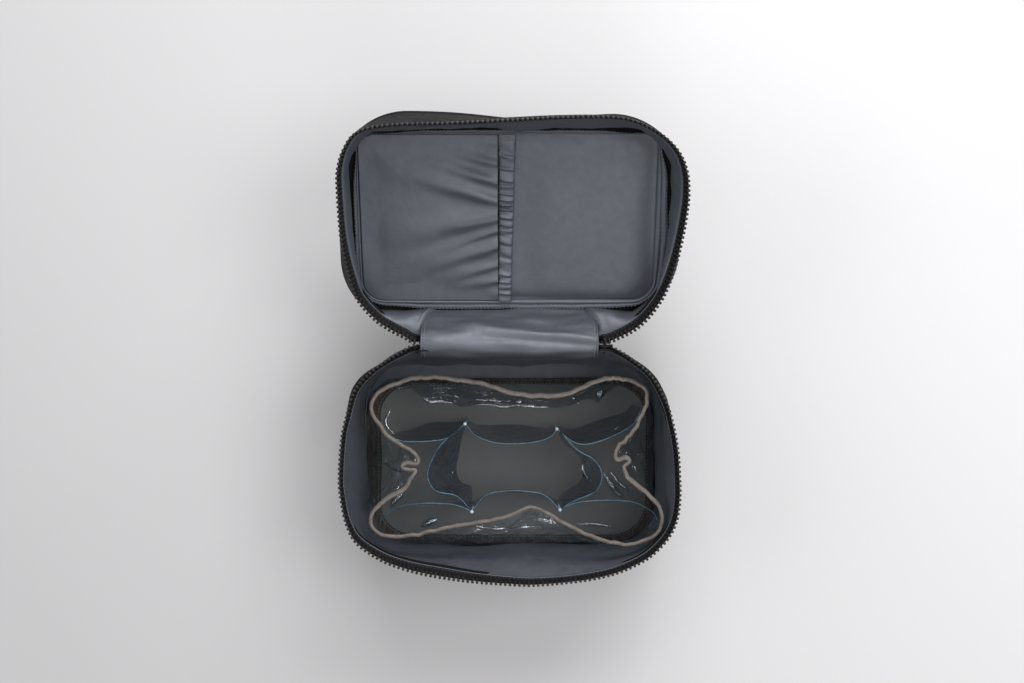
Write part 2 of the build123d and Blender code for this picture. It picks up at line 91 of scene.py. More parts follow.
# How far the zip's tape leans out from the seam to the teeth's ends: degrees round from
# the right-hand side, and millimetres.
BASE_TAPE_LEAN = (
    (5, 2.4), (22, 2.0), (32, 1.6), (44, 2.6), (54, 5), (90, 5), (126, 5), (136, 2.6), (148, 1.6),
    (160, 1.8), (175, 1.8), (200, 1.7), (209, 3.3), (238, 6), (262, 4.2), (290, 3.2), (330, 2.6),
)
LID_TAPE_LEAN = (
    (0, 3), (45, 2), (90, 1), (135, 1.5), (180, 2.2), (205, 3), (225, 3.6), (236, 2.5), (270, 1),
    (304, 2.5), (316, 3.6), (335, 3.2),
)
# How far the outer cloth's top edge stands out past the teeth's ends.
BASE_CLOTH_REACH = (
    (5, -1), (18, 1.6), (28, 3), (36, 1.6), (46, -1), (90, -1), (136, -1.2), (145, 0.6),
    (152, 3.4), (161, 2.2), (174, -0.6), (205, -1.2), (240, -3.4), (270, -2.4), (300, -1.6),
    (340, -1.2),
)
LID_CLOTH_REACH = ((0, -1.6), (90, -0.8), (180, -1.2), (270, -0.8))
# Upper edge of the clear organiser, as its soft walls hang.
ORGANISER_RIM_LINE = (
    (-98.1, 38.4), (-96.6, 29.9), (-91.7, 22.8), (-86.7, 15.7), (-76.8, 9.3), (-68.2, 3.6),
    (-65.4, -0.6), (-66.4, -3.4), (-70.5, -4.0), (-75.4, -4.4), (-77.0, -6.2), (-75.4, -8.0),
    (-70.8, -8.2), (-67, -8.8), (-67.8, -11.4), (-69.9, -14.5), (-74.6, -22), (-86.7, -29.1), (-97.4, -39.1),
    (-98.8, -46.2), (-93.8, -53.3), (-83.2, -55.6), (-66.1, -54.2), (-45.5, -49.4),
    (-24.9, -46.2), (-9.3, -43.3), (4.2, -39.1), (14.2, -34.8), (24.8, -38.3), (36.9, -45.4),
    (54.7, -54), (71.7, -59.9), (83.8, -61.3), (93.8, -58.9), (103.7, -54.2), (108, -44.7),
    (105.8, -35.5), (97.3, -25.6), (85.2, -16.3), (81.4, -10.4), (80.2, -6.4), (83.0, -4.4),
    (85.2, -2.4), (83.2, -0.6), (79.2, -1.0), (76.0, -0.6), (74.6, 2.4), (75.2, 5.2),
    (78.1, 9.3), (87.4, 19.2), (93.8, 31.3), (97.3, 39.8), (95.9, 48.3), (85.2, 54.9),
    (69.6, 55.6), (56.1, 51.9), (44, 46.2), (30.5, 43.4), (11.3, 44.1), (-4.3, 46.9),
    (-17.8, 51.9), (-38.4, 55.4), (-61.1, 56.9), (-79.6, 52.8), (-93.1, 46.4),
)
# Upper edges of the dividers. Each starts and ends at a wall or at a weld.
DIVIDER_WELDS = ((-32.8, 22.8), (34.1, 19.1), (-27.7, -41.2), (36.3, -39.8))
DIVIDER_LINES = {
    "divider_back": (
        ((-87.5, 14.2), (-78.6, 10.2), (-59, 10.2), (-45, 13), (-32.8, 22.8)),
        ((-32.8, 22.8), (-25.5, 14.6), (-12, 9.3), (4, 8.4), (20, 10), (30, 13.8), (34.1, 19.1)),
        ((34.1, 19.1), (45, 10.2), (56, 8), (73.4, 13.2), (89.5, 22.7), (96, 35)),
    ),
    "divider_front": (
        ((-94.5, -47.5), (-83.5, -38.4), (-66, -35.2), (-46, -35.4), (-35.4, -37.6), (-27.7, -41.2)),
        ((-27.7, -41.2), (-18.3, -29.6), (-4, -26.2), (11.6, -26.4), (25.4, -29.3), (36.3, -39.8)),
        ((36.3, -39.8), (48.7, -34.6), (69.8, -32.8), (89.4, -34.2), (103.2, -41), (107.6, -47.4)),
    ),
    "divider_left": (((-35.2, 20.4), (-50.3, 7.6), (-58.4, -7), (-59.8, -17.2), (-54, -26),
                      (-39.3, -29.6), (-29.8, -38.4)),),
    "divider_right": (((36.2, 17.4), (48.7, 4), (61, -3.4), (67, -14), (62.5, -26), (46.5, -33.4),
                       (38.6, -38.2)),),
}
# How far the middle of each divider's lower edge stands from under its upper edge
DIVIDER_FEET = {
    "divider_back": (0, 11), "divider_front": (0, -9), "divider_left": (17, 0), "divider_right": (-9, 0),
}
# How much further in the corners of base and lid stand than a plain round corner: degrees round
# and millimetres.
BASE_CORNER_TRIM = (
    (16, 0), (24, 2.5), (34, 6), (44, 4), (54, 0), (126, 0), (136, 3), (146, 5.5), (156, 2.5), (164, 0),
)
LID_CORNER_TRIM = (
    (205, 0), (213, 1.0), (222, 0), (302, 0), (314, 4.5), (326, 5.5), (340, 2.0), (350, 0),
)
# Outlines with round corners: lower left corner, upper right corner and radius, in metres
FLOOR_OUTLINE = ((-0.1125, -0.0765), (0.1135, 0.0758), 0.040)
BELLY_OUTLINE = ((-0.1072, -0.0695), (0.1075, 0.0655), 0.030)
LID_TOP_OUTLINE = ((-0.1195, 0.001), (0.1195, 0.1575), 0.050)
LID_DEEP_OUTLINE = ((-0.1135, 0.0130), (0.1130, 0.1500), 0.022)
BOTTOM_RADIUS = 0.048  # round corners of the base's bottom

LAYERS = 0.0033  # the outer cloth with the foam behind it
CLOTH_START = 0.0042  # height at which the base's wall starts, over its piping
LID_SEAM = 0.009  # depth of the seam between the lid's wall and its zip
LID_EDGE = 0.0340  # depth at which the lid's wall meets its top
HEM_RADIUS = 0.00035
TAPE_HALF = 0.0004  # half the thickness of the zip's tape
HINGE_HALF_WIDTH = 0.0650  # half the width over the hinge where the zip is closed


class CaseSizes(PropertyGroup):
    """Sizes that a user would change."""

    seam_height: FloatProperty(
        name="Seam height",
        description="Floor to the seam between the base's wall and its zip",
        default=0.091,
        unit="LENGTH",
    )
    tape_reach: FloatProperty(
        name="Zip reach",
        description="Wall's seam to the outer ends of the zip's teeth",
        default=0.0102,
        unit="LENGTH",
    )
    tooth_pitch: FloatProperty(
        name="Tooth pitch",
        description="Distance from one zip tooth to the next",
        default=0.0033,
        unit="LENGTH",
    )
    stitch_pitch: FloatProperty(
        name="Stitch pitch",
        description="Distance from one stitch to the next",
        default=0.0027,
        unit="LENGTH",
    )
    piping_radius: FloatProperty(
        name="Piping radius",
        description="Radius of the cord piping in the outer seams",
        default=0.002,
        unit="LENGTH",
    )


class CaseColours(PropertyGroup):
    """Colours that a user would change."""

    outer_cloth: FloatVectorProperty(
        name="Outer cloth", description="Charcoal cloth outside", subtype="COLOR",
        size=3, min=0, max=1, default=(0.013, 0.013, 0.014),
    )
    lining: FloatVectorProperty(
        name="Lining", description="Satin lining inside", subtype="COLOR",
        size=3, min=0, max=1, default=(0.032, 0.036, 0.045),
    )
    zip_tape: FloatVectorProperty(
        name="Zip tape", description="Woven tape of the zip", subtype="COLOR",
        size=3, min=0, max=1, default=(0.009, 0.009, 0.010),
    )
    zip_teeth: FloatVectorProperty(
        name="Zip teeth", description="Moulded teeth of the zip", subtype="COLOR",
        size=3, min=0, max=1, default=(0.014, 0.012, 0.011),
    )
    edge_tape: FloatVectorProperty(
        name="Edge tape", description="Taupe tape round the organiser's edges", subtype="COLOR",
        size=3, min=0, max=1, default=(0.175, 0.150, 0.132),
    )
    clear_sheet: FloatVectorProperty(
        name="Clear sheet", description="Tint of the clear sheet", subtype="COLOR",
        size=3, min=0, max=1, default=(0.84, 0.87, 0.88),
    )
    sheet_edge: FloatVectorProperty(
        name="Sheet edge", description="Cut edges of the clear sheet", subtype="COLOR",
        size=3, min=0, max=1, default=(0.055, 0.125, 0.180),
    )
    slider: FloatVectorProperty(
        name="Slider", description="Metal of the zip's sliders and pulls", subtype="COLOR",
        size=3, min=0, max=1, default=(0.020, 0.019, 0.018),
    )
    floor: FloatVectorProperty(
        name="Floor", description="Pale floor under the case", subtype="COLOR",
        size=3, min=0, max=1, default=(0.655, 0.648, 0.655),
    )


def sizes():
    """The sizes as they stand in the scene."""
    return bpy.context.scene.vanity_case_sizes


def colours():
    """The colours as they stand in the scene."""
    return bpy.context.scene.vanity_case_colours


# Lines and loops


def spline_points(points, steps, closed):
    """Points of a smooth line through the given ones."""
    given = np.array(points, float)
    count = len(given)
    out = []
    for number in range(count if closed else count - 1):
        if closed:
            a, b, c, d = (given[(number + shift) % count] for shift in (-1, 0, 1, 2))
        else:
            b, c = given[number], given[number + 1]
            a = given[number - 1] if number > 0 else 2 * b - c
            d = given[number + 2] if number + 2 < count else 2 * c - b
        for step in range(steps):
            t = step / steps
            out.append(
                0.5 * (2 * b + (c - a) * t + (2 * a - 5 * b + 4 * c - d) * t * t
                       + (3 * b - a - 3 * c + d) * t ** 3)
            )
    if not closed:
        out.append(given[-1])
    return np.array(out)


def reach_along(path):
    """Distance along a line from its start to each of its points."""
    return np.concatenate([[0], np.cumsum(np.linalg.norm(np.diff(path, axis=0), axis=1))])


def even(line, count, closed):
    """The line again, as count points at even distances."""
    path = np.vstack([line, line[:1]]) if closed else line
    along = reach_along(path)
    at = np.linspace(0, along[-1], count, endpoint=not closed)
    return np.stack([np.interp(at, along, path[:, k]) for k in range(path.shape[1])], axis=1)


def smooth_loop(points, count=AROUND):
    """An even closed smooth line through the given points, in metres."""
    return even(spline_points(points, 24, True), count, True) * MM


def smooth_line(points, count):
    """An even open smooth line through the given points, in metres."""
    return even(spline_points(points, 24, False), count, False) * MM


def rounded_loop(low, high, radius, count=4 * AROUND):
    """A rectangle with rounded corners, anticlockwise, from two corners in metres."""
    out = []
    for turn, (x, y) in enumerate(
        ((high[0] - radius, high[1] - radius), (low[0] + radius, high[1] - radius),
         (low[0] + radius, low[1] + radius), (high[0] - radius, low[1] + radius))
    ):
        for step in range(33):
            angle = (turn + step / 32) * math.pi / 2
            out.append((x + radius * math.cos(angle), y + radius * math.sin(angle)))
    return even(np.array(out), count, True)


def angles_of(loop, centre):
    """Direction of each point of a loop from a centre."""
    away = loop - np.array(centre)
    return np.arctan2(away[:, 1], away[:, 0])


def at_angles(loop, angles, centre):
    """The loop's points in the given directions from a centre."""
    away = loop - np.array(centre)
    turn = np.arctan2(away[:, 1], away[:, 0])
    reach = np.interp(angles, turn, np.hypot(away[:, 0], away[:, 1]), period=2 * math.pi)
    return np.array(centre) + np.stack([np.cos(angles), np.sin(angles)], axis=1) * reach[:, None]


def unit(rows):
    """The same directions, each with length 1."""
    return rows / np.linalg.norm(rows, axis=1)[:, None]


def outwards(loop):
    """Unit directions square to an anticlockwise loop, away from its inside."""
    along = np.roll(loop, -1, axis=0) - np.roll(loop, 1, axis=0)
    return unit(np.stack([along[:, 1], -along[:, 0]], axis=1))


def above_line(path):
    """Unit directions square to an open flat line, on its left side."""
    along = unit(np.gradient(path, axis=0))
    return np.stack([-along[:, 1], along[:, 0]], axis=1)


def by_angle(table, angles):
    """A value that changes smoothly round the case, from degrees and millimetres."""
    given = np.array(table, float)
    turn = np.degrees(angles) % 360
    near = np.interp(turn, given[:, 0], given[:, 1], period=360)
    kernel = np.hanning(15) / np.hanning(15).sum()
    padded = np.concatenate([near[-7:], near, near[:7]])
    return np.convolve(padded, kernel, mode="valid") * MM


def ease(value, low, high):
    """0 below low, 1 above high, and smooth in between."""
    t = np.clip((np.asarray(value, float) - low) / (high - low), 0, 1)
    return t * t * (3 - 2 * t)


def bump_at(value, middle, width):
    """A smooth hump of height 1."""
    return np.exp(-(((np.asarray(value, float) - middle) / width) ** 2))


def raised(loop, height):
    """A flat loop with a height, in 3-D."""
    tall = np.broadcast_to(np.asarray(height, float), (len(loop),))
    return np.column_stack([loop, tall])


def rough_points(points, size, seed):
    """Smooth random values from -1 to 1 at the given points."""
    shift = Vector((seed * 7.13, seed * 3.71, seed * 5.57))
    return np.array([noise.noise(Vector(p) / size + shift) for p in points])


# Frame of the open lid

lid_joint = next(joint for joint in frame["record"]["behaviour"]["joints"] if joint["name"] == "lid_hinge")
HINGE_Y = lid_joint["pos_m"][1]
HINGE_Z = lid_joint["pos_m"][2]
LID_TURN = math.radians(-lid_joint["range_deg"][0])
LID_DEPTH = 0.038
LID_CENTRE = (0.0, 0.080)


def opened(points):
    """Places of the open lid's points, given as X, distance from the hinge and depth."""
    given = np.asarray(points, float)
    x, forward, up = given[..., 0], given[..., 1], given[..., 2]
    return np.stack(
        [
            x,
            HINGE_Y - forward * math.cos(LID_TURN) + up * math.sin(LID_TURN),
            HINGE_Z + forward * math.sin(LID_TURN) + up * math.cos(LID_TURN),
        ],
        axis=-1,
    )


def square_to_lid(up):
    """Direction square to the open lid's top: 1 points out of the case, -1 into it."""
    return opened(np.array([0, 0, float(up)])) - opened(np.zeros(3))


# Meshes


def new_piece(name, points, faces, materials, smooth=True, choice=None, flip=False):
    """A mesh object from points and faces, which flip turns over."""
    if flip:
        faces = [face[::-1] for face in faces]
    mesh = bpy.data.meshes.new(name)
    mesh.from_pydata([tuple(p) for p in points], [], [tuple(f) for f in faces])
    for finish in materials:
        mesh.materials.append(finish)
    if choice is not None:
        mesh.polygons.foreach_set("material_index", choice)
    mesh.polygons.foreach_set("use_smooth", [smooth] * len(mesh.polygons))
    mesh.validate()
    mesh.update()
    piece = bpy.data.objects.new(name, mesh)
    bpy.context.scene.collection.objects.link(piece)
    return piece


def belongs(piece, body, slot, *nodes):
    """Put a piece on its body, in place of the CAD nodes that it stands for. The slot is not used."""
    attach(piece, body)
    if nodes:
        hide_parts(*nodes)


def sheet_faces(rows, columns, closed_columns=False, closed_rows=False, start=0):
    """Faces of a sheet of points, row by row."""
    faces = []
    for row in range(rows if closed_rows else rows - 1):
        below = start + row * columns
        above = start + ((row + 1) % rows) * columns
        for column in range(columns if closed_columns else columns - 1):
            after = (column + 1) % columns
            faces.append((below + column, below + after, above + after, above + column))
    return faces


def post_faces(rows, sides, start):
    """Faces of a closed post, from rows of points that run round it."""
    last = start + (rows - 1) * sides
    faces = sheet_faces(rows, sides, closed_columns=True, start=start)
    faces.append(tuple(start + corner for corner in range(sides - 1, -1, -1)))
    faces.append(tuple(last + corner for corner in range(sides)))
    return faces


def bar_faces(rows, columns, start=0):
    """Faces of a closed bar, from rows of points that run along it."""
    faces = sheet_faces(rows, columns, closed_rows=True, start=start)
    faces.append(tuple(start + row * columns for row in range(rows)))
    faces.append(tuple(start + row * columns - 1 for row in range(rows, 0, -1)))
    return faces


def ring_piece(name, rings, materials, closed_section=False, flip=False):
    """A wall that runs all the way round, from rings of points."""
    faces = sheet_faces(len(rings), len(rings[0]), closed_columns=True, closed_rows=closed_section)
    return new_piece(name, np.vstack(rings), faces, materials, flip=flip)


def run_piece(name, rings, materials, solid=False, flip=False):
    """A strip with two ends, from rows of points along it. A solid one is closed all over."""
    faces_of = bar_faces if solid else sheet_faces
    return new_piece(name, np.vstack(rings), faces_of(len(rings), len(rings[0])), materials, flip=flip)


def filled_rings(name, rings, materials):
    """A panel made of rings that shrink to a middle point."""
    count = len(rings[0])
    faces = sheet_faces(len(rings), count, closed_columns=True)
    middle = len(rings) * count
    last = (len(rings) - 1) * count
    for column in range(count):
        faces.append((last + column, last + (column + 1) % count, middle))
    points = np.vstack(rings + [rings[-1].mean(axis=0)[None, :]])
    return new_piece(name, points, faces, materials)


def plate_piece(name, rings, materials, flip=False):
    """A plate with two sides, from rings that start at one side's middle and end at the other's."""
    count = len(rings[0])
    faces = sheet_faces(len(rings), count, closed_columns=True)
    middle = len(rings) * count
    last = (len(rings) - 1) * count
    for column in range(count):
        after = (column + 1) % count
        faces.append((after, column, middle))
        faces.append((last + column, last + after, middle + 1))
    points = np.vstack(rings + [rings[0].mean(axis=0)[None, :], rings[-1].mean(axis=0)[None, :]])
    return new_piece(name, points, faces, materials, flip=flip)


def tube_rings(path, radius, closed, sides=10, lift=(0, 0, 1)):
    """Rings of points round a line, as rows that run along it."""
    if closed:
        along = np.roll(path, -1, axis=0) - np.roll(path, 1, axis=0)
    else:
        along = np.gradient(path, axis=0)
    along = unit(along)
    side = unit(np.cross(along, np.array(lift, float)))
    top = np.cross(side, along)
    rows = []
    for number in range(sides):
        turn = 2 * math.pi * number / sides
        rows.append(path + (side * math.cos(turn) + top * math.sin(turn)) * radius)
    return rows


def cord_piece(name, line, radius, sides, finish):
    """A cord or rolled hem that runs all the way round."""
    return ring_piece(name, tube_rings(line, radius, True, sides), [finish], closed_section=True)


def line_length(line, closed=False):
    """Length of a line of points."""
    path = np.vstack([line, line[:1]]) if closed else line
    return float(np.linalg.norm(np.diff(path, axis=0), axis=1).sum())


def along_line(line, values, distances, closed=False):
    """Points and values at the given distances along a line."""
    if closed:
        line = np.vstack([line, line[:1]])
        values = np.vstack([values, values[:1]])
    reach = reach_along(line)
    place = np.stack([np.interp(distances, reach, line[:, k]) for k in range(3)], axis=1)
    value = np.stack([np.interp(distances, reach, values[:, k]) for k in range(values.shape[1])], axis=1)
    return place, value


STITCH_SIDES = 5
# Sections of a stitch: place along it and thickness, as shares
STITCH_SECTIONS = ((-0.50, 0.35), (-0.34, 0.95), (0.0, 1.15), (0.34, 0.95), (0.50, 0.35))


def stitches(line, up, closed=False, pitch=None, length=0.0020, thick=0.00030, lift=0.00005):
    """Points and faces of a row of thread stitches that lie on a line."""
    pitch = pitch or sizes().stitch_pitch
    reach = line_length(line, closed)
    count = int(reach / pitch)
    at = (np.arange(count) + 0.5) * reach / count
    place, top = along_line(line, up, at, closed)
    ahead, _ = along_line(line, up, np.minimum(at + 0.0004, reach), closed)
    behind, _ = along_line(line, up, np.maximum(at - 0.0004, 0), closed)
    along = unit(ahead - behind)
    top = unit(top)
    side = unit(np.cross(top, along))
    points, faces = [], []
    for spot, forward, over, across in zip(place, along, top, side):
        start = len(points)
        for share, wide in STITCH_SECTIONS:
            middle = spot + forward * share * length + over * (lift + thick * 0.5 * (wide - 0.9))
            for turn in range(STITCH_SIDES):
                angle = 2 * math.pi * turn / STITCH_SIDES
                points.append(middle + (across * math.cos(angle) + over * math.sin(angle)) * thick * wide)
        faces += post_faces(len(STITCH_SECTIONS), STITCH_SIDES, start)
    return points, faces


def stitch_piece(name, rows, finish):
    """One piece from several rows of stitches."""
    points, faces = [], []
    for row_points, row_faces in rows:
        start = len(points)
        points += row_points
        faces += [tuple(start + corner for corner in face) for face in row_faces]
    return new_piece(name, points, faces, [finish])


# Finishes

FINISHES = {}


class Finish:
    """A material with short ways to add the nodes that its surface needs."""

    def __init__(self, name, colour, roughness):
        self.material = bpy.data.materials.new("case_" + name)
        self.material.use_nodes = True
        FINISHES[name] = self.material
        self.nodes = self.material.node_tree.nodes
        self.links = self.material.node_tree.links
        self.shader = self.nodes["Principled BSDF"]
        self.colour = tuple(colour)
        self.shader.inputs["Base Color"].default_value = (*self.colour, 1)
        self.shader.inputs["Roughness"].default_value = roughness
        self.place = self.nodes.new("ShaderNodeTexCoord").outputs["Object"]
        self.height = None

    def set(self, **values):
        """Set plain values on the shader's own sockets."""
        for name, value in values.items():
            self.shader.inputs[name.replace("_", " ").title().replace("Ior", "IOR")].default_value = value
        return self

    def stretched(self, scale):
        """The texture place, stretched along its axes."""
        mapping = self.nodes.new("ShaderNodeMapping")
        mapping.inputs["Scale"].default_value = scale
        self.links.new(self.place, mapping.inputs["Vector"])
        return mapping.outputs["Vector"]

    def cloud(self, size, detail=3.0, roughness=0.5, stretch=None, distortion=0.0):
        """Noise whose patches have the given size in metres."""
        node = self.nodes.new("ShaderNodeTexNoise")
        node.inputs["Scale"].default_value = 1 / size
        node.inputs["Detail"].default_value = detail
        node.inputs["Roughness"].default_value = roughness
        node.inputs["Distortion"].default_value = distortion
        place = self.stretched(stretch) if stretch else self.place
        self.links.new(place, node.inputs["Vector"])
        return node.outputs["Fac"]

    def bands(self, pitch, direction, distortion=0.0, profile="SIN"):
        """Even bands with the given pitch in metres."""
        node = self.nodes.new("ShaderNodeTexWave")
        node.bands_direction = direction
        node.wave_profile = profile
        node.inputs["Scale"].default_value = math.pi / 10 / pitch
        node.inputs["Distortion"].default_value = distortion
        node.inputs["Detail"].default_value = 1.0
        node.inputs["Detail Scale"].default_value = 0.6
        self.links.new(self.place, node.inputs["Vector"])
        return node.outputs["Fac"]

    def math(self, how, first, second):
        """One sum or product of two values."""
        node = self.nodes.new("ShaderNodeMath")
        node.operation = how
        for socket, value in zip(node.inputs, (first, second)):
            if isinstance(value, (int, float)):
                socket.default_value = value
            else:
                self.links.new(value, socket)
        return node.outputs[0]

    def ranged(self, value, low, high, new_low, new_high):
        """A value moved from one range to another."""
        node = self.nodes.new("ShaderNodeMapRange")
        ends = (("From Min", low), ("From Max", high), ("To Min", new_low), ("To Max", new_high))
        for socket, number in ends:
            node.inputs[socket].default_value = number
        self.links.new(value, node.inputs["Value"])
        return node.outputs["Result"]

    def bump(self, value, depth, strength=1.0):
        """Add relief of the given depth in metres."""
        node = self.nodes.new("ShaderNodeBump")
        node.inputs["Strength"].default_value = strength
        node.inputs["Distance"].default_value = depth
        self.links.new(value, node.inputs["Height"])
        if self.height is not None:
            self.links.new(self.height, node.inputs["Normal"])
        self.height = node.outputs["Normal"]
        self.links.new(self.height, self.shader.inputs["Normal"])
        return self

    def tint(self, value, low, high, shade=0.8, lighter=1.15, hue=(1, 1, 1)):
        """Vary the colour from a darker to a lighter shade with a value."""
        ramp = self.nodes.new("ShaderNodeValToRGB")
        ramp.color_ramp.elements[0].position = low
        ramp.color_ramp.elements[1].position = high
        ramp.color_ramp.elements[0].color = (*(c * shade * h for c, h in zip(self.colour, hue)), 1)
        ramp.color_ramp.elements[1].color = (*(min(1, c * lighter) for c in self.colour), 1)
        self.links.new(value, ramp.inputs["Fac"])
        self.links.new(ramp.outputs["Color"], self.shader.inputs["Base Color"])
        return self

    def rough(self, value, low, high):
        """Vary the roughness with a value."""
        self.links.new(self.ranged(value, 0.25, 0.75, low, high), self.shader.inputs["Roughness"])
        return self

    def weave(self, pitch, depth):
        """Add the relief of a plain weave."""
        lattice = self.math(
            "ADD",
            self.math("MULTIPLY", self.bands(pitch, "X"), self.bands(pitch, "Y")),
            self.math("MULTIPLY", self.bands(pitch, "Z"), self.bands(pitch * 1.03, "DIAGONAL")),
        )
        return self.bump(lattice, depth, 0.6)


def cloth_finishes(tone):
    """Outer cloth, lining and the lining's bound edge."""
    cloth = Finish("outer_cloth", tone.outer_cloth, 0.82)
    cloth.set(specular_ior_level=0.25)
    cloth.tint(cloth.cloud(0.012, 4), 0.3, 0.7, 0.85, 1.25)
    cloth.rough(cloth.cloud(0.004, 2), 0.72, 0.92)
    cloth.bump(cloth.cloud(0.0009, 2), 0.00012, 0.7)
    cloth.bump(cloth.cloud(0.018, 3), 0.0006, 0.5)
    cloth.weave(0.00055, 0.00007)

    for name, shade, gloss in (("lining", 1.0, 1.0), ("bound_edge", 1.35, 0.9)):
        colour = tuple(c * shade for c in tone.lining)
        lining = Finish(name, colour, 0.46)
        lining.set(specular_ior_level=gloss, ior=1.85)
        lining.shader.inputs["Specular Tint"].default_value = (0.86, 0.90, 1.0, 1)
        lining.tint(lining.cloud(0.03, 4, 0.55), 0.3, 0.72, 0.86, 1.12, (0.97, 0.98, 1.02))
        lining.rough(lining.cloud(0.006, 3), 0.54, 0.66)
        lining.bump(lining.cloud(0.011, 4, 0.5), 0.0007, 0.55)
        lining.bump(lining.cloud(0.0028, 3), 0.00012, 0.5)
        lining.weave(0.0004, 0.00003)


def zip_finishes(tone):
    """Tape and teeth of the zip."""
    tape = Finish("zip_tape", tone.zip_tape, 0.8)
    tape.set(specular_ior_level=0.2)
    tape.tint(tape.cloud(0.003, 3), 0.3, 0.7, 0.8, 1.5)
    tape.bump(tape.bands(0.0008, "X"), 0.00014, 0.7)
    tape.bump(tape.bands(0.0008, "Y"), 0.00014, 0.7)
    tape.bump(tape.cloud(0.0008, 2), 0.0001, 0.6)

    teeth = Finish("zip_teeth", tone.zip_teeth, 0.32)
    teeth.set(specular_ior_level=0.45)
    teeth.tint(teeth.cloud(0.0016, 2), 0.40, 0.72, 0.7, 2.6)
    teeth.rough(teeth.cloud(0.0011, 2), 0.25, 0.45)
    teeth.bump(teeth.cloud(0.0007, 2), 0.00004, 0.6)


def edge_tape_finishes(tone):
    """Tapes of the organiser's rim and foot; the foot's tape is the rim's taupe painted darker, as painted
    shade.
    """
    edge = Finish("edge_tape", tone.edge_tape, 0.85)
    edge.set(sheen_weight=0.12, sheen_roughness=0.4)
    edge.tint(edge.cloud(0.0045, 4), 0.3, 0.72, 0.72, 1.22)
    edge.bump(edge.cloud(0.0013, 3, 0.6), 0.0003, 0.8)
    edge.bump(edge.bands(0.0011, "DIAGONAL", 1.5), 0.0002, 0.6)

    # The foot's tape is the same taupe tape as the rim's, painted 0.34 times as dark: painted shade of the
    # deep bottom of the case.
    shaded_foot_tape = Finish("shaded_foot_tape", tuple(c * 0.34 for c in tone.edge_tape), 0.8)
    shaded_foot_tape.tint(shaded_foot_tape.cloud(0.006, 4, stretch=(3, 1, 1)), 0.3, 0.7, 0.6, 1.4)
    shaded_foot_tape.bump(shaded_foot_tape.bands(0.0026, "X", 0.8), 0.0005, 0.9)
    shaded_foot_tape.bump(shaded_foot_tape.cloud(0.0012, 3), 0.0002, 0.7)


def film_finishes(tone):
    """Clear film of the organiser, its hazy floor, its cut edges and its welds, whose pale colour is partly
    a painted highlight.
    """
    for name, tint, mirror in (
        ("clear_sheet", tone.clear_sheet, 0.13),
        ("film_fold", tone.clear_sheet, 0.34),
        # The dividers' sheet lets through a darker tint than the walls' sheet: painted shade over the
        # compartments seen through it.
        ("shaded_divider_sheet", (0.50, 0.54, 0.60), 0.06),
    ):
        sheet = Finish(name, (0.92, 0.96, 1.0), 0.05)
        sheet.set(metallic=1.0)
        sheet.rough(sheet.cloud(0.014, 3), 0.04, 0.14)
        relief = 0.0015 if name == "film_fold" else 0.0075
        sheet.bump(sheet.cloud(0.013, 2, 0.5, distortion=1.2), relief, 0.9)
        sheet.bump(sheet.cloud(0.005, 2), 0.0006, 0.5)
        clear = sheet.nodes.new("ShaderNodeBsdfTransparent")
        clear.inputs["Color"].default_value = (*tint, 1)
        facing = sheet.nodes.new("ShaderNodeLayerWeight")
        facing.inputs["Blend"].default_value = 0.5
        steep = sheet.math("POWER", facing.outputs["Facing"], 3.5)
        mix = sheet.nodes.new("ShaderNodeMixShader")
        sheet.links.new(sheet.ranged(steep, 0.0, 1.0, mirror, 0.6), mix.inputs["Fac"])
        sheet.links.new(clear.outputs[0], mix.inputs[1])
        sheet.links.new(sheet.shader.outputs[0], mix.inputs[2])
        sheet.links.new(mix.outputs[0], sheet.nodes["Material Output"].inputs["Surface"])

    haze = Finish("organiser_floor", (0.150, 0.150, 0.145), 0.30)
    haze.set(specular_ior_level=0.4)
    haze.tint(haze.cloud(0.03, 4), 0.3, 0.7, 0.92, 1.06)
    haze.rough(haze.cloud(0.02, 3), 0.28, 0.42)
    haze.bump(haze.cloud(0.03, 3), 0.0008, 0.4)
    haze.bump(haze.cloud(0.0012, 2), 0.00002, 0.5)

    cut = Finish("sheet_edge", tone.sheet_edge, 0.25)
    cut.set(specular_ior_level=0.8, transmission_weight=0.25)
    cut.tint(cut.cloud(0.004, 3), 0.3, 0.7, 0.7, 1.5)
    cut.bump(cut.cloud(0.0012, 2), 0.00006, 0.5)

    # The welds are painted pale and whitish, lighter than the clear sheet: partly a painted highlight for
    # the bright dots where the strips are welded.
    weld = Finish("weld", (0.55, 0.62, 0.66), 0.2)
    weld.tint(weld.cloud(0.0015, 2), 0.3, 0.7, 0.6, 1.3)
    weld.bump(weld.cloud(0.0008, 2), 0.0002, 0.7)


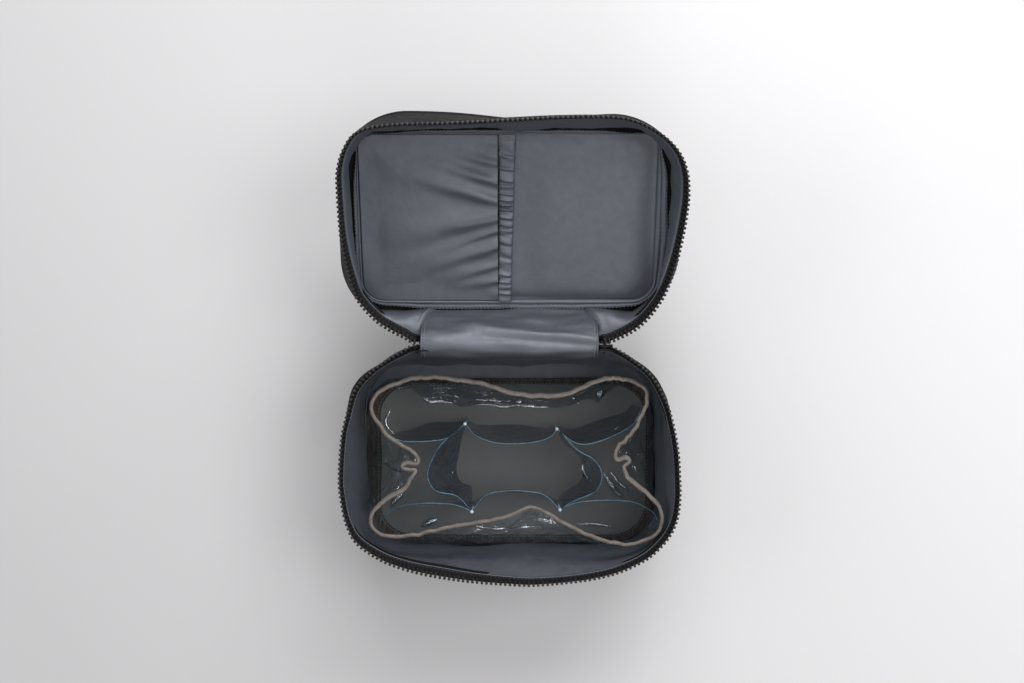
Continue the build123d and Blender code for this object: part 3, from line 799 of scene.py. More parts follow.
def other_finishes(tone):
    """Sliders, board, webbing and threads."""
    metal = Finish("slider", tone.slider, 0.34)
    metal.set(metallic=0.85)
    metal.tint(metal.cloud(0.0025, 3), 0.3, 0.7, 0.7, 1.5)
    metal.rough(metal.cloud(0.0018, 3), 0.24, 0.46)
    metal.bump(metal.cloud(0.0008, 2), 0.00003, 0.6)

    board = Finish("board", (0.05, 0.05, 0.052), 0.6)
    board.tint(board.cloud(0.005, 3), 0.3, 0.7, 0.8, 1.3)
    board.bump(board.cloud(0.0007, 2), 0.00004, 0.5)

    webbing = Finish("webbing", tuple(c * 0.9 for c in tone.outer_cloth), 0.75)
    webbing.set(sheen_weight=0.2)
    webbing.tint(webbing.cloud(0.004, 3), 0.3, 0.7, 0.75, 1.6)
    webbing.bump(webbing.bands(0.0016, "X", 0.4), 0.00028, 0.8)
    webbing.bump(webbing.bands(0.0009, "DIAGONAL", 0.6), 0.00022, 0.8)

    for name, colour in (("lining_thread", (0.17, 0.18, 0.20)), ("outer_thread", (0.035, 0.035, 0.037)),
                         ("taupe_thread", (0.24, 0.20, 0.17))):
        thread = Finish(name, colour, 0.6)
        thread.set(sheen_weight=0.3)
        thread.tint(thread.cloud(0.0012, 2), 0.3, 0.7, 0.75, 1.35)
        thread.bump(thread.bands(0.0003, "DIAGONAL"), 0.00005, 0.8)


def make_finishes():
    """Make every material once."""
    tone = colours()
    for group in (cloth_finishes, zip_finishes, edge_tape_finishes, film_finishes, other_finishes):
        group(tone)


# Shapes of base and lid, all round


def base_lines():
    """Loops that the base's walls, tape and teeth follow."""
    tips = smooth_loop(BASE_TEETH_LINE)
    angles = angles_of(tips, (0, 0))
    away = outwards(tips)
    lean = by_angle(BASE_TAPE_LEAN, angles)
    seam = tips - away * lean[:, None]
    cloth_top = tips + away * by_angle(BASE_CLOTH_REACH, angles)[:, None]
    low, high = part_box("base_outer_wall")
    bottom = at_angles(rounded_loop(low[:2], high[:2], BOTTOM_RADIUS), angles, (0, 0))
    trim = away * by_angle(BASE_CORNER_TRIM, angles)[:, None]
    bottom = bottom - trim
    floor = at_angles(rounded_loop(*FLOOR_OUTLINE), angles, (0, 0)) - trim * 0.8
    belly = at_angles(rounded_loop(*BELLY_OUTLINE), angles, (0, 0))
    return {
        "tips": tips, "angles": angles, "away": away, "lean": lean, "seam": seam,
        "cloth_top": cloth_top, "bottom": bottom, "floor": floor, "belly": belly,
    }


def lid_lines():
    """Loops that the lid's walls, tape and teeth follow, as X and distance from the hinge."""
    tips = smooth_loop(LID_TEETH_LINE)
    angles = angles_of(tips, LID_CENTRE)
    away = outwards(tips)
    lean = by_angle(LID_TAPE_LEAN, angles)
    seam = tips - away * lean[:, None]
    cloth_top = tips + away * by_angle(LID_CLOTH_REACH, angles)[:, None]
    outline = at_angles(rounded_loop(*LID_TOP_OUTLINE), angles, LID_CENTRE)
    # The far side of the lid's top sags towards the hinge.
    sag = bump_at(outline[:, 0], 0.018, 0.045) * 0.0060 + ease(outline[:, 0], 0.05, 0.10) * 0.0020
    outline[:, 1] -= sag * ease(outline[:, 1], 0.10, 0.150)
    outline -= away * by_angle(LID_CORNER_TRIM, angles)[:, None]
    return {
        "tips": tips, "angles": angles, "away": away, "lean": lean, "seam": seam,
        "cloth_top": cloth_top, "outline": outline,
    }


def kept_inside(loop, limit, centre):
    """The loop, nowhere further from the centre than the limit."""
    centre = np.array(centre)
    far = np.linalg.norm(loop - centre, axis=1)
    most = np.linalg.norm(limit - centre, axis=1)
    return centre + (loop - centre) * np.minimum(1, most / far)[:, None]


def mixed(first, second, share):
    """Points between two loops."""
    share = np.asarray(share, float)
    if share.ndim:
        share = share[:, None]
    return first * (1 - share) + second * share


# Outer cloth


def make_base_cloth(cloth):
    """Base: wall with its foam, piping and bottom panel."""
    seam_z = sizes().seam_height

    shape = base_lines()
    away = shape["away"]
    rings = []
    for height in np.linspace(CLOTH_START, seam_z - 0.001, 30):
        share = height / seam_z
        loop = mixed(shape["bottom"], shape["cloth_top"], share)
        swell = 0.0008 * math.sin(math.pi * share) ** 0.8
        ring = raised(loop + away * swell, height)
        soft = rough_points(ring, 0.035, 1) * 0.0011 + rough_points(ring, 0.012, 2) * 0.0003
        ring[:, :2] += away * (soft * math.sin(math.pi * share) ** 0.5)[:, None]
        rings.append(ring)
    rings.append(raised(shape["cloth_top"] - away * 0.0005, seam_z))
    rings.append(raised(shape["cloth_top"] - away * 0.0013, seam_z - 0.0001))
    rings.append(raised(mixed(shape["cloth_top"], shape["seam"], 0.5), seam_z - 0.0006))
    rings.append(raised(shape["seam"] + away * 0.0003, seam_z - 0.001))
    rings.append(raised(shape["seam"] + away * 0.0004, seam_z - 0.012))
    inner = shape["bottom"] - away * LAYERS
    rings.append(raised(inner, 0.030))
    rings.append(raised(inner, CLOTH_START))
    wall = ring_piece("base_cloth_wall", rings, [cloth], closed_section=True)
    belongs(wall, "base", "outer_cloth", "base_outer_wall", "base_foam_wall")

    line = raised(shape["bottom"] - away * 0.001, 0.0022)
    piping = cord_piece("base_piping", line, sizes().piping_radius, 12, cloth)
    belongs(piping, "base", "piping", "base_bottom_piping")

    rings = [raised(shape["bottom"] - away * inset, height) for inset, height in (
        (0.0034, 0.0012), (0.0033, 0.0004), (0.0040, 0.0))]
    for share in (0.2, 0.4, 0.6, 0.8, 0.95):
        rings.append(raised((shape["bottom"] - away * 0.004) * (1 - share), 0.0))
    bottom = filled_rings("base_cloth_bottom", rings, [cloth])
    belongs(bottom, "base", "outer_cloth", "base_bottom_panel")


def make_lid_cloth(cloth):
    """Lid: wall with its foam, piping and top with its board."""
    lid = lid_lines()
    away = lid["away"]
    rings = []
    for share in np.linspace(0, 1, 14):
        depth = LID_SEAM + 0.0006 + (LID_EDGE - LID_SEAM - 0.0006) * share
        loop = mixed(lid["cloth_top"], lid["outline"], share)
        flat = loop + away * 0.0006 * math.sin(math.pi * share)
        ring = raised(flat, depth)
        soft = rough_points(ring, 0.03, 3) * 0.0010
        ring[:, :2] += away * (soft * math.sin(math.pi * share))[:, None]
        rings.append(ring)
    inner = lid["outline"] - away * LAYERS
    rings.append(raised(lid["outline"] - away * 0.002, LID_EDGE + 0.0001))
    rings.append(raised(inner, LID_EDGE))
    rings.append(raised(mixed(inner, lid["seam"], 0.6), LID_SEAM + 0.012))
    rings.append(raised(lid["seam"] + away * 0.0005, LID_SEAM + 0.004))
    rings.append(raised(lid["seam"] + away * 0.0004, LID_SEAM + 0.0002))
    rings.append(raised(mixed(lid["cloth_top"], lid["seam"], 0.5), LID_SEAM - 0.0002))
    rings.append(raised(lid["cloth_top"] - away * 0.0008, LID_SEAM))
    rings = [opened(r) for r in rings]
    wall = ring_piece("lid_cloth_wall", rings, [cloth], closed_section=True, flip=True)
    belongs(wall, "lid", "outer_cloth", "lid_outer_wall", "lid_foam")

    line = opened(raised(lid["outline"] - away * 0.001, 0.0358))
    piping = cord_piece("lid_piping", line, sizes().piping_radius, 12, cloth)
    belongs(piping, "lid", "piping", "lid_top_piping")

    rim = lid["outline"] - away * LAYERS
    middle = np.array(LID_CENTRE)
    shares = (0.1, 0.3, 0.5, 0.7, 0.9, 0.985)
    rings = [raised(rim, 0.0345), raised(rim + away * 0.0002, 0.0362), raised(rim, 0.0376)]
    outer = [raised(middle + (rim - middle) * share, 0.0379) for share in reversed(shares)]
    inner = [raised(middle + (rim - middle) * share, 0.0344) for share in shares]
    rings = [opened(r) for r in inner + rings + outer]
    top = plate_piece("lid_cloth_top", rings, [cloth], flip=True)
    belongs(top, "lid", "outer_cloth", "lid_outer_top", "lid_top_board")


class VANITYCASE_OT_outer_cloth(Operator):
    """Outer cloth of base and lid, with the foam behind it and the piping in its seams."""

    bl_idname = "vanity_case.outer_cloth"
    bl_label = "Outer cloth"

    def execute(self, context):
        make_base_cloth(FINISHES["outer_cloth"])
        make_lid_cloth(FINISHES["outer_cloth"])
        return {"FINISHED"}


# Linings

# Height at which the base's slack lining stands furthest in: degrees round and millimetres
BELLY_HEIGHTS = (
    (0, 50), (22, 46), (32, 42), (148, 42), (158, 42), (180, 42), (212, 38), (235, 36), (305, 36),
    (330, 40),
)


def wall_creases(points):
    """How far the base's lining stands inwards, for soft folds."""
    soft = rough_points(points * np.array([1, 1, 0.7]), 0.045, 11) * 0.0032
    middle = rough_points(points * np.array([1, 1, 0.5]), 0.020, 13) * 0.0016
    fine = rough_points(points * np.array([1, 1, 0.45]), 0.009, 12) * 0.0005
    return soft + middle + fine


def make_base_lining(lining):
    """Lining of the base's walls with its hem, and of its floor."""
    seam_z = sizes().seam_height

    shape = base_lines()
    away, angles = shape["away"], shape["angles"]
    belly_z = by_angle(BELLY_HEIGHTS, angles)
    seam = shape["seam"] - away * 0.0006
    rings = []
    for step in np.linspace(0, 1, 52):
        if step < 0.45:
            share = step / 0.45
            loop = mixed(shape["floor"], shape["belly"], 1 - (1 - share) ** 1.5)
            height = 0.0045 + (belly_z - 0.0045) * share
        else:
            share = (step - 0.45) / 0.55
            loop = mixed(shape["belly"], seam, share ** 1.9)
            height = belly_z + (seam_z - 0.0003 - belly_z) * share
        ring = raised(loop, height)
        fold = wall_creases(ring) * min(1, 5 * step, 2.5 * (1 - step))
        # A slanting fold near the front left corner
        corner = (ring[:, 0] + 0.1185) * 0.745 + (ring[:, 1] + 0.0360) * 0.667
        there = (ring[:, 1] < -0.02) * (ring[:, 0] < -0.08)
        fold += 0.0036 * bump_at(corner, 0.0, 0.0034) * there * (1 - step)
        ring[:, :2] -= away * fold[:, None]
        # The lining stays inside the outer cloth.
        limit = mixed(shape["bottom"] - away * 0.0040, seam, ease(height, 0.024, 0.079))
        ring[:, :2] = kept_inside(ring[:, :2], limit, (0, 0))
        rings.append(ring)
    rings.append(raised(shape["seam"] - away * 0.0006, seam_z + 0.0002))
    rings.append(raised(shape["seam"] + away * 0.0002, seam_z + 0.0005))
    wall = ring_piece("base_lining", rings, [lining], flip=True)
    belongs(wall, "base", "lining", "base_lining_wall")

    line = raised(shape["seam"] - away * 0.0004, seam_z + 0.0001)
    roll = cord_piece("base_lining_hem", line, HEM_RADIUS, 8, lining)
    belongs(roll, "base", "lining")

    rim = shape["floor"] + away * 0.0008
    rings = [raised(rim * share, 0.0042) for share in (1, 0.95, 0.85, 0.7, 0.5, 0.3, 0.1)]
    floor = filled_rings("base_floor_lining", rings, [lining])
    belongs(floor, "base", "lining", "base_lining_floor")


def make_lid_lining(lining):
    """Lining of the lid's walls, with its hem."""
    lid = lid_lines()
    away = lid["away"]
    seam = lid["seam"]
    near_hinge = ease(-seam[:, 1], -0.0135, -0.0065)
    # Deep down the wall stands clear of the bound seam, and further in at the far side.
    deep = at_angles(rounded_loop(*LID_DEEP_OUTLINE), lid["angles"], LID_CENTRE)
    centre = np.array(LID_CENTRE)
    room = np.minimum(
        np.linalg.norm(deep - centre, axis=1),
        np.linalg.norm(lid["outline"] - away * 0.0036 - centre, axis=1),
    )
    far = ease(seam[:, 1], 0.110, 0.150)
    room = np.minimum(room, np.linalg.norm(seam - centre, axis=1) - 0.0050 * far + 0.009 * (1 - far))
    near_corner = ease(np.abs(seam[:, 0]), 0.084, 0.094) * ease(-seam[:, 1], -0.046, -0.030)
    deep = centre + (deep - centre) * (room / np.linalg.norm(deep - centre, axis=1))[:, None]
    under_strip = near_hinge * ease(-np.abs(seam[:, 0]), -0.0650, -0.0600)
    grow = (1 + 1.5 * near_hinge) * (1 - under_strip) * (1 - 0.85 * near_corner)
    cloth_inside = lid["outline"] - away * LAYERS
    rings = []
    for depth, inset in ((0.0086, -0.0002), (0.0088, 0.0010), (0.0100, 0.0019), (0.012, 0.0027),
                         (0.0145, 0.0033), (0.0175, 0.0037), (0.0205, 0.0036), (0.0235, 0.0030),
                         (0.027, 0.0022), (0.031, 0.0014), (0.0342, 0.0010)):
        wall_line = mixed(seam, deep, ease(depth, 0.009, 0.031))
        ring = raised(wall_line - away * (inset * grow)[:, None], depth)
        soft = rough_points(ring * np.array([1, 1, 0.5]), 0.022, 14) * 0.0013
        soft += rough_points(ring, 0.008, 15) * 0.0006
        ring[:, :2] -= away * (soft * ease(depth, 0.009, 0.016))[:, None]
        # The lining stays inside the outer cloth.
        if depth < 0.021:
            limit = mixed(seam, mixed(cloth_inside, seam, 0.6), max(0, (depth - 0.0092) / 0.0118))
        else:
            share = min(1, (depth - 0.021) / 0.013)
            limit = mixed(cloth_inside, seam, 0.6 * (1 - share))
        if depth > 0.0095:
            ring[:, :2] = kept_inside(ring[:, :2], limit - away * 0.0007, LID_CENTRE)
        rings.append(opened(ring))
    wall = ring_piece("lid_lining", rings, [lining])
    belongs(wall, "lid", "lining", "lid_lining_wall")

    line = opened(raised(seam - away * 0.0006, 0.0087))
    roll = cord_piece("lid_lining_hem", line, HEM_RADIUS, 8, lining)
    belongs(roll, "lid", "lining")


class VANITYCASE_OT_linings(Operator):
    """Lining of the base's walls and floor, and of the lid's walls."""

    bl_idname = "vanity_case.linings"
    bl_label = "Linings"

    def execute(self, context):
        make_base_lining(FINISHES["lining"])
        make_lid_lining(FINISHES["lining"])
        return {"FINISHED"}


# Inner panel of the lid

# Lower left and upper right corner: X and distance from the hinge
PANEL_LOW = (-0.1048, 0.0226)
PANEL_HIGH = (0.1020, 0.1432)
PANEL_CORNER = 0.0105  # radius of the two far corners
PANEL_NEAR_CORNER = 0.0150  # radius of the two corners beside the hinge
PANEL_DEPTH = 0.0334  # how deep in the lid the panel's edge lies
# Width and height of the bound seam round the panel: degrees round and millimetres
BINDING_LEAN = (
    (0, 8.8), (20, 6.8), (27, 2.0), (36, 0.9), (46, 3.0), (90, 3.4), (132, 3.2), (143, 0.9),
    (155, 0.9), (166, 3.4), (180, 3.8), (202, 3.8), (209, 2.4), (217, 5.0), (226, 6.8), (270, 6.8),
    (318, 6.6), (331, 3.4), (342, 7.6), (350, 8.8),
)
BINDING_RISE = (
    (0, 3.4), (30, 3.6), (40, 4.4), (90, 4.6), (140, 4.6), (180, 4.4), (212, 3.8), (224, 3.4),
    (330, 3.4),
)
# Section of the bound seam, as shares of its width and height
BINDING_SECTION = (
    (-0.02, -0.35), (-0.03, 0.30), (0.02, 0.70), (0.12, 0.98), (0.28, 1.04), (0.42, 0.86), (0.50, 0.74),
    (0.58, 0.84), (0.74, 1.02), (0.90, 0.92), (1.0, 0.62), (1.02, 0.2), (0.96, -0.2), (0.80, -0.35),
    (0.45, -0.40), (0.15, -0.40),
)


def panel_loop():
    """The edge of the lid's inner panel, where the bound seam stands."""
    far = even(rounded_loop(PANEL_LOW, PANEL_HIGH, PANEL_CORNER), AROUND, True)
    angles = angles_of(far, LID_CENTRE)
    near = at_angles(rounded_loop(PANEL_LOW, PANEL_HIGH, PANEL_NEAR_CORNER), angles, LID_CENTRE)
    loop = np.where(far[:, 1:] < LID_CENTRE[1], near, far)
    return loop, outwards(loop), angles


def make_lid_panel(loop, away):
    """Panel between its bound seams."""
    middle = np.array(LID_CENTRE)

    rings = [raised(loop + away * 0.0012, PANEL_DEPTH + 0.0006), raised(loop, PANEL_DEPTH)]
    for share in (0.99, 0.97, 0.94, 0.9, 0.84, 0.77, 0.7, 0.62, 0.54, 0.46, 0.38, 0.3, 0.22, 0.14, 0.07):
        ring = raised(middle + (loop - middle) * share, PANEL_DEPTH)
        ring[:, 2] -= 0.0016 * ease(1 - share, 0.0, 0.12) + rough_points(ring, 0.06, 21) * 0.0007
        # Right of the pocket the panel swells a little.
        swell = np.maximum(1 - ((ring[:, 1] - 0.078) / 0.058) ** 2, 0) * ease(ring[:, 0], 0.006, 0.030)
        ring[:, 2] -= 0.0034 * swell * ease(-ring[:, 0], -0.100, -0.080)
        rings.append(ring)
    panel = filled_rings("lid_inner_panel", [opened(r) for r in rings], [FINISHES["lining"]])
    belongs(panel, "lid", "lining", "lid_panel")


def make_bound_seam(loop, away, angles):
    """Bound seam round the panel, with its stitches."""
    lean = by_angle(BINDING_LEAN, angles)[:, None]
    rise = by_angle(BINDING_RISE, angles)
    spots = raised(loop, 0)
    wave = rough_points(spots, 0.02, 22) * 0.0006 + rough_points(spots, 0.007, 23) * 0.0003
    rings = []
    for out, up in BINDING_SECTION:
        flat = loop + away * (lean * out + wave[:, None] * out)
        rings.append(raised(flat, PANEL_DEPTH - rise * up))
    rings = [opened(r) for r in rings]
    binding = ring_piece("lid_bound_seam", rings, [FINISHES["bound_edge"]], closed_section=True)
    belongs(binding, "lid", "lining", "lid_seam_binding")

    rows = []
    normal = np.tile(square_to_lid(-1), (AROUND, 1))
    for out, up in ((0.50, 0.76), (0.93, 0.90)):
        flat = loop + away * (lean * out + wave[:, None] * out)
        line = opened(raised(flat, PANEL_DEPTH - rise * up))
        rows.append(stitches(line, normal, closed=True, length=0.0017, thick=0.00022))
    thread = stitch_piece("lid_bound_seam_stitches", rows, FINISHES["lining_thread"])
    belongs(thread, "lid", "lining")


class VANITYCASE_OT_lid_panel(Operator):
    """Inner panel of the lid and the bound seam round it."""

    bl_idname = "vanity_case.lid_panel"
    bl_label = "Lid panel and bound seam"

    def execute(self, context):
        loop, away, angles = panel_loop()
        make_lid_panel(loop, away)
        make_bound_seam(loop, away, angles)
        return {"FINISHED"}


# Zip

# Sections of a tooth, from the tape outwards: distance, half width along the zip and half
# thickness, in millimetres
TOOTH_SECTIONS = (
    (-4.4, 0.55, 0.75), (-4.15, 0.80, 1.15), (-2.3, 0.82, 1.2), (-1.75, 0.56, 1.0), (-0.95, 0.56, 0.95),
    (-0.35, 0.92, 1.15), (0.55, 0.92, 1.15), (1.0, 0.7, 0.95), (1.2, 0.35, 0.5),
)
TOOTH_END = 1.2  # the last section's distance
# Corners of each section, as shares of its half width and half thickness
TOOTH_CORNERS = (
    (1, 0.55), (0.55, 1), (-0.55, 1), (-1, 0.55), (-1, -0.55), (-0.55, -1), (0.55, -1), (1, -0.55),
)


def teeth_mesh(place, along, out):
    """Points and faces of a row of teeth, from their places and directions."""
    across = np.cross(along, out)
    points, faces = [], []
    for spot, a, o, t in zip(place, along, out, across):
        start = len(points)
        for reach, wide, thick in TOOTH_SECTIONS:
            middle = spot + o * (reach - TOOTH_END) * MM
            for side, face in TOOTH_CORNERS:
                points.append(middle + a * side * wide * MM + t * face * thick * MM)
        faces += post_faces(len(TOOTH_SECTIONS), len(TOOTH_CORNERS), start)
    return points, faces


def tape_heights(lean):
    """How far the teeth's ends stand above the seam."""
    return np.sqrt(np.maximum(sizes().tape_reach ** 2 - lean ** 2, 1e-8))


def run_without_hinge(loop, is_hinge_side, half_width):
    """Order of the loop's points from one end of the open zip to the other."""
    hidden = is_hinge_side & (np.abs(loop[:, 0]) < half_width)
    count = len(loop)
    starts = [i for i in range(count) if hidden[i - 1] and not hidden[i]]
    start = starts[0]
    order = []
    for step in range(count):
        index = (start + step) % count
        if hidden[index]:
            break
        order.append(index)
    return np.array(order)


def make_zip_half(name, seam_line, tip_line, body, tape_node, teeth_node):
    """Tape, teeth and stitches of one half of the zip."""
    out = unit(tip_line - seam_line)
    along = unit(np.gradient(tip_line, axis=0))
    across = unit(np.cross(along, out))
    half = TAPE_HALF
    section = (
        (-0.0035, half), (0.0, half), (0.003, half), (0.0062, half), (0.0070, half * 2.1), (0.0076, 0.0),
        (0.0070, -half * 2.1), (0.0062, -half), (0.003, -half), (0.0, -half), (-0.0035, -half),
    )
    rings = [seam_line + out * share + across * side for share, side in section]
    tape = run_piece(name + "_tape", rings, [FINISHES["zip_tape"]], solid=True)
    belongs(tape, body, "zip_tape", tape_node)

    length = line_length(tip_line)
    count = int(length / sizes().tooth_pitch)
    at = (np.arange(count) + 0.5) * length / count
    place, direction = along_line(tip_line, np.hstack([along, out]), at)
    points, faces = teeth_mesh(place, unit(direction[:, :3]), unit(direction[:, 3:]))
    teeth = new_piece(name + "_teeth", points, faces, [FINISHES["zip_teeth"]])
    belongs(teeth, body, "zip_teeth", teeth_node)

    rows = []
    for side in (1, -1):
        line = seam_line + out * 0.0016 + across * side * half
        rows.append(stitches(line, across * side, length=0.0018, thick=0.00022))
    thread = stitch_piece(name + "_tape_stitches", rows, FINISHES["outer_thread"])
    belongs(thread, body, "zip_tape")


class VANITYCASE_OT_zip(Operator):
    """Both halves of the zip, with their moulded teeth."""

    bl_idname = "vanity_case.zip"
    bl_label = "Zip"

    def execute(self, context):
        shape = base_lines()
        order = run_without_hinge(shape["tips"], shape["tips"][:, 1] > 0, HINGE_HALF_WIDTH)
        rise = tape_heights(shape["lean"])
        seam = raised(shape["seam"], sizes().seam_height)[order]
        tips = raised(shape["tips"], sizes().seam_height + rise)[order]
        make_zip_half("base_zip", seam, tips, "base", "base_zip_tape", "base_zip_teeth")

        lid = lid_lines()
        order = run_without_hinge(lid["tips"], lid["tips"][:, 1] < 0.08, HINGE_HALF_WIDTH)
        rise = tape_heights(lid["lean"])
        seam = opened(raised(lid["seam"], LID_SEAM)[order])
        tips = opened(raised(lid["tips"], LID_SEAM - rise)[order])
        make_zip_half("lid_zip", seam, tips, "lid", "lid_zip_tape", "lid_zip_teeth")
        return {"FINISHED"}


def closed_end_sag(x):
    """How far the closed ends sag where they meet the open zip."""
    return 0.007 * ease(-np.abs(x), -0.068, -0.056)


class VANITYCASE_OT_sliders(Operator):
    """Sliders, pulls and the closed ends of the zip."""

    bl_idname = "vanity_case.sliders"
    bl_label = "Sliders and closed zip ends"

    def execute(self, context):
        for node in ("slider_left", "slider_right", "pull_left", "pull_right"):
            put_finish(node, FINISHES["slider"])
        for side, name in ((-1, "left"), (1, "right")):
            low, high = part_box("zip_end_" + name)
            start, end = (high[0], low[0]) if side < 0 else (low[0], high[0])
            middle_y = (low[1] + high[1]) / 2
            points, faces = [], []
            closed_end = start + (end - start) * 0.36
            for up, shift in ((1, 0.5), (-1, 1.0)):
                count = int(abs(closed_end - start) / sizes().tooth_pitch)
                place = np.array([
                    (start + side * (n + shift) * sizes().tooth_pitch, middle_y, HINGE_Z + up * 0.0012)
                    for n in range(count)
                ])
                place[:, 2] -= closed_end_sag(place[:, 0])
                ahead = np.tile([side, 0.0, 0.0], (count, 1))
                out = np.tile([0.0, 0.0, up], (count, 1))
                more_points, more_faces = teeth_mesh(place, ahead, out)
                base = len(points)
                points += more_points
                faces += [tuple(base + corner for corner in face) for face in more_faces]
            split = len(faces)
            columns = 20
            for z_low, z_high, reach in (
                (low[2], HINGE_Z - 0.0032, end - side * 0.0125),
                (HINGE_Z + 0.0032, high[2], closed_end + side * 0.006),
            ):
                base = len(points)
                steps = np.linspace(start, reach, columns)
                near, far = middle_y - TAPE_HALF, middle_y + TAPE_HALF
                for y, z in ((near, z_low), (near, z_high), (far, z_high), (far, z_low)):
                    points += [(x, y, z - float(closed_end_sag(x))) for x in steps]
                faces += bar_faces(4, columns, base)
            choice = [1] * split + [0] * (len(faces) - split)
            end_piece = new_piece(
                "zip_closed_end_" + name, points, faces, [FINISHES["zip_tape"], FINISHES["zip_teeth"]],
                choice=choice,
            )
            belongs(end_piece, "base", "zip_tape", "zip_end_" + name)
        return {"FINISHED"}


def put_finish(node, finish):
    """Give a carried-over CAD node its finish."""
    mesh = frame["nodes"][node].data
    mesh.materials.clear()
    mesh.materials.append(finish)


# Hinge

# Ways of the lining strip and of the outer cloth from the base into the lid: Y and Z in
# millimetres
HINGE_LINING_PATH = (
    (75.8, 72), (74.0, 78), (72.2, 84), (71.4, 90), (71.5, 95.6), (72.8, 100.6), (76.2, 104.5),
    (81.4, 105.8), (86.8, 104.2), (91.4, 99.8), (95.6, 93.4), (99.4, 86.8), (102.8, 81.4), (105.8, 77.2),
)
# Where the strip starts and ends to follow the lid
HINGE_CLOTH_PATH = (
    (78.9, 86), (79.3, 92), (79.4, 97.5), (80.0, 100.7), (81.4, 101.8), (82.6, 100.4), (83.3, 96),
    (84.3, 90.5),
)


def make_hinge_lining(lining):
    """Lining strip over the hinge, with stitches and rolled edges."""
    columns = 64
    path = smooth_line(HINGE_LINING_PATH, 72)
    x = np.linspace(-0.0620, 0.0612, columns)
    run = reach_along(path)
    above = above_line(path)
    rings = []
    for row, (y, z) in enumerate(path):
        share = run[row] / run[-1]
        ring = np.column_stack([x, np.full(columns, y), np.full(columns, z)])
        free = ease(share, 0.40, 0.55)
        soft = rough_points(ring * np.array([1, 1.6, 1.6]), 0.026, 31) * 0.0016
        soft += rough_points(ring * np.array([0.5, 1.8, 1.8]), 0.012, 32) * 0.0008
        soft += free * 0.0022 * bump_at(y + x * 0.10, 0.0905, 0.0030) * ease(x, -0.04, -0.01)
        soft -= free * 0.0016 * bump_at(y + x * 0.10, 0.0850, 0.0030) * ease(x, -0.04, -0.01)
        edge = ease(np.abs(x), 0.054, 0.062)
        lift = soft * (1 - 0.6 * edge) - 0.0010 * edge
        ring[:, 1] -= above[row, 0] * -lift
        ring[:, 2] += above[row, 1] * lift
        rings.append(ring)
    strip = run_piece("hinge_lining", rings, [lining], flip=True)
    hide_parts("hinge_lining_strip")
    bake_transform(strip)

    normals = np.column_stack([np.zeros(len(path)), above])
    rows = []
    for x_edge in (-0.0595, 0.0588):
        column = int(np.argmin(np.abs(x - x_edge)))
        line = np.array([ring[column] for ring in rings]) + normals * 0.0002
        rows.append(stitches(line, normals, length=0.0017, thick=0.00024))
    thread = stitch_piece("hinge_lining_stitches", rows, FINISHES["lining_thread"])
    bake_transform(thread)

    for column, name in ((0, "left"), (-1, "right")):
        line = np.array([ring[column] for ring in rings])
        tube = tube_rings(line, 0.0007, False, 8, lift=(1, 0, 0))
        roll = run_piece("hinge_lining_edge_" + name, tube, [lining], solid=True)
        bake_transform(roll)


def make_tape_ends():
    """Ends of the lid's zip tape, that lie flat beside the strip."""
    columns = 12
    for side, name in ((-1, "left"), (1, "right")):
        across = side * np.linspace(0.0562, 0.0715, columns)
        rings = []
        for forward, depth in ((-0.6, 8.3), (1.2, 8.2), (3.0, 8.4), (4.6, 8.9), (4.6, 9.5), (3.0, 9.0),
                               (1.2, 8.8), (-0.6, 8.9)):
            rings.append(opened(np.column_stack([
                across, np.full(columns, forward * MM), np.full(columns, depth * MM)])))
        end = run_piece("lid_zip_tape_end_" + name, rings, [FINISHES["zip_tape"]], solid=True)
        belongs(end, "lid", "zip_tape")


def make_hinge_cloth():
    """Outer cloth folded between base and lid."""
    path = smooth_line(HINGE_CLOTH_PATH, 40)
    above = above_line(path)
    columns = 40
    x = np.linspace(-0.0505, 0.0505, columns)
    outer, inner = [], []
    for row, (y, z) in enumerate(path):
        for rows, side in ((outer, -0.0004), (inner, 0.0004)):
            at_y = np.full(columns, y + above[row, 0] * side)
            at_z = np.full(columns, z + above[row, 1] * side)
            rows.append(np.column_stack([x, at_y, at_z]))
    rings = outer + inner[::-1]
    fold = run_piece("hinge_cloth", rings, [FINISHES["outer_cloth"]], solid=True)
    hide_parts("hinge_outer_panel")
    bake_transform(fold)


class VANITYCASE_OT_hinge(Operator):
    """Cloth hinge: the outer fold and the lining strip over it."""

    bl_idname = "vanity_case.hinge"
    bl_label = "Cloth hinge"

    def execute(self, context):
        make_hinge_lining(FINISHES["lining"])
        make_tape_ends()
        make_hinge_cloth()
        return {"FINISHED"}


# Pocket in the lid

# Sides of the pocket: X at the left and at the mouth, and distance from the hinge
POCKET_LEFT = -0.1042
POCKET_MOUTH = -0.0084
POCKET_NEAR = 0.0228
POCKET_FAR = 0.1430
PANEL_TOP = 0.0310  # depth of the panel's surface under the pocket
CASING_FOLDS = 20
# Larger folds, from the mouth inwards: distance from the hinge at the mouth and at the far
# end, reach, width and height, in millimetres
POCKET_FOLDS = (
    (98, 124, 84, 6.5, 3.8), (111, 133, 70, 5.5, 3.0), (87, 66, 92, 9.0, 4.8), (76, 44, 84, 4.5, 2.0),
    (64, 40, 80, 7.0, 3.4), (50, 36, 52, 5.0, 2.6), (38, 31, 40, 4.5, 2.4), (124, 137, 50, 5.0, 2.4),
    (134, 139, 30, 4.0, 1.6),
)


def closed(points):
    """X, distance from the hinge and depth of places on the open lid."""
    y, z = points[:, 1] - HINGE_Y, points[:, 2] - HINGE_Z
    turn_cos, turn_sin = math.cos(LID_TURN), math.sin(LID_TURN)
    return np.column_stack([points[:, 0], -y * turn_cos + z * turn_sin, y * turn_sin + z * turn_cos])


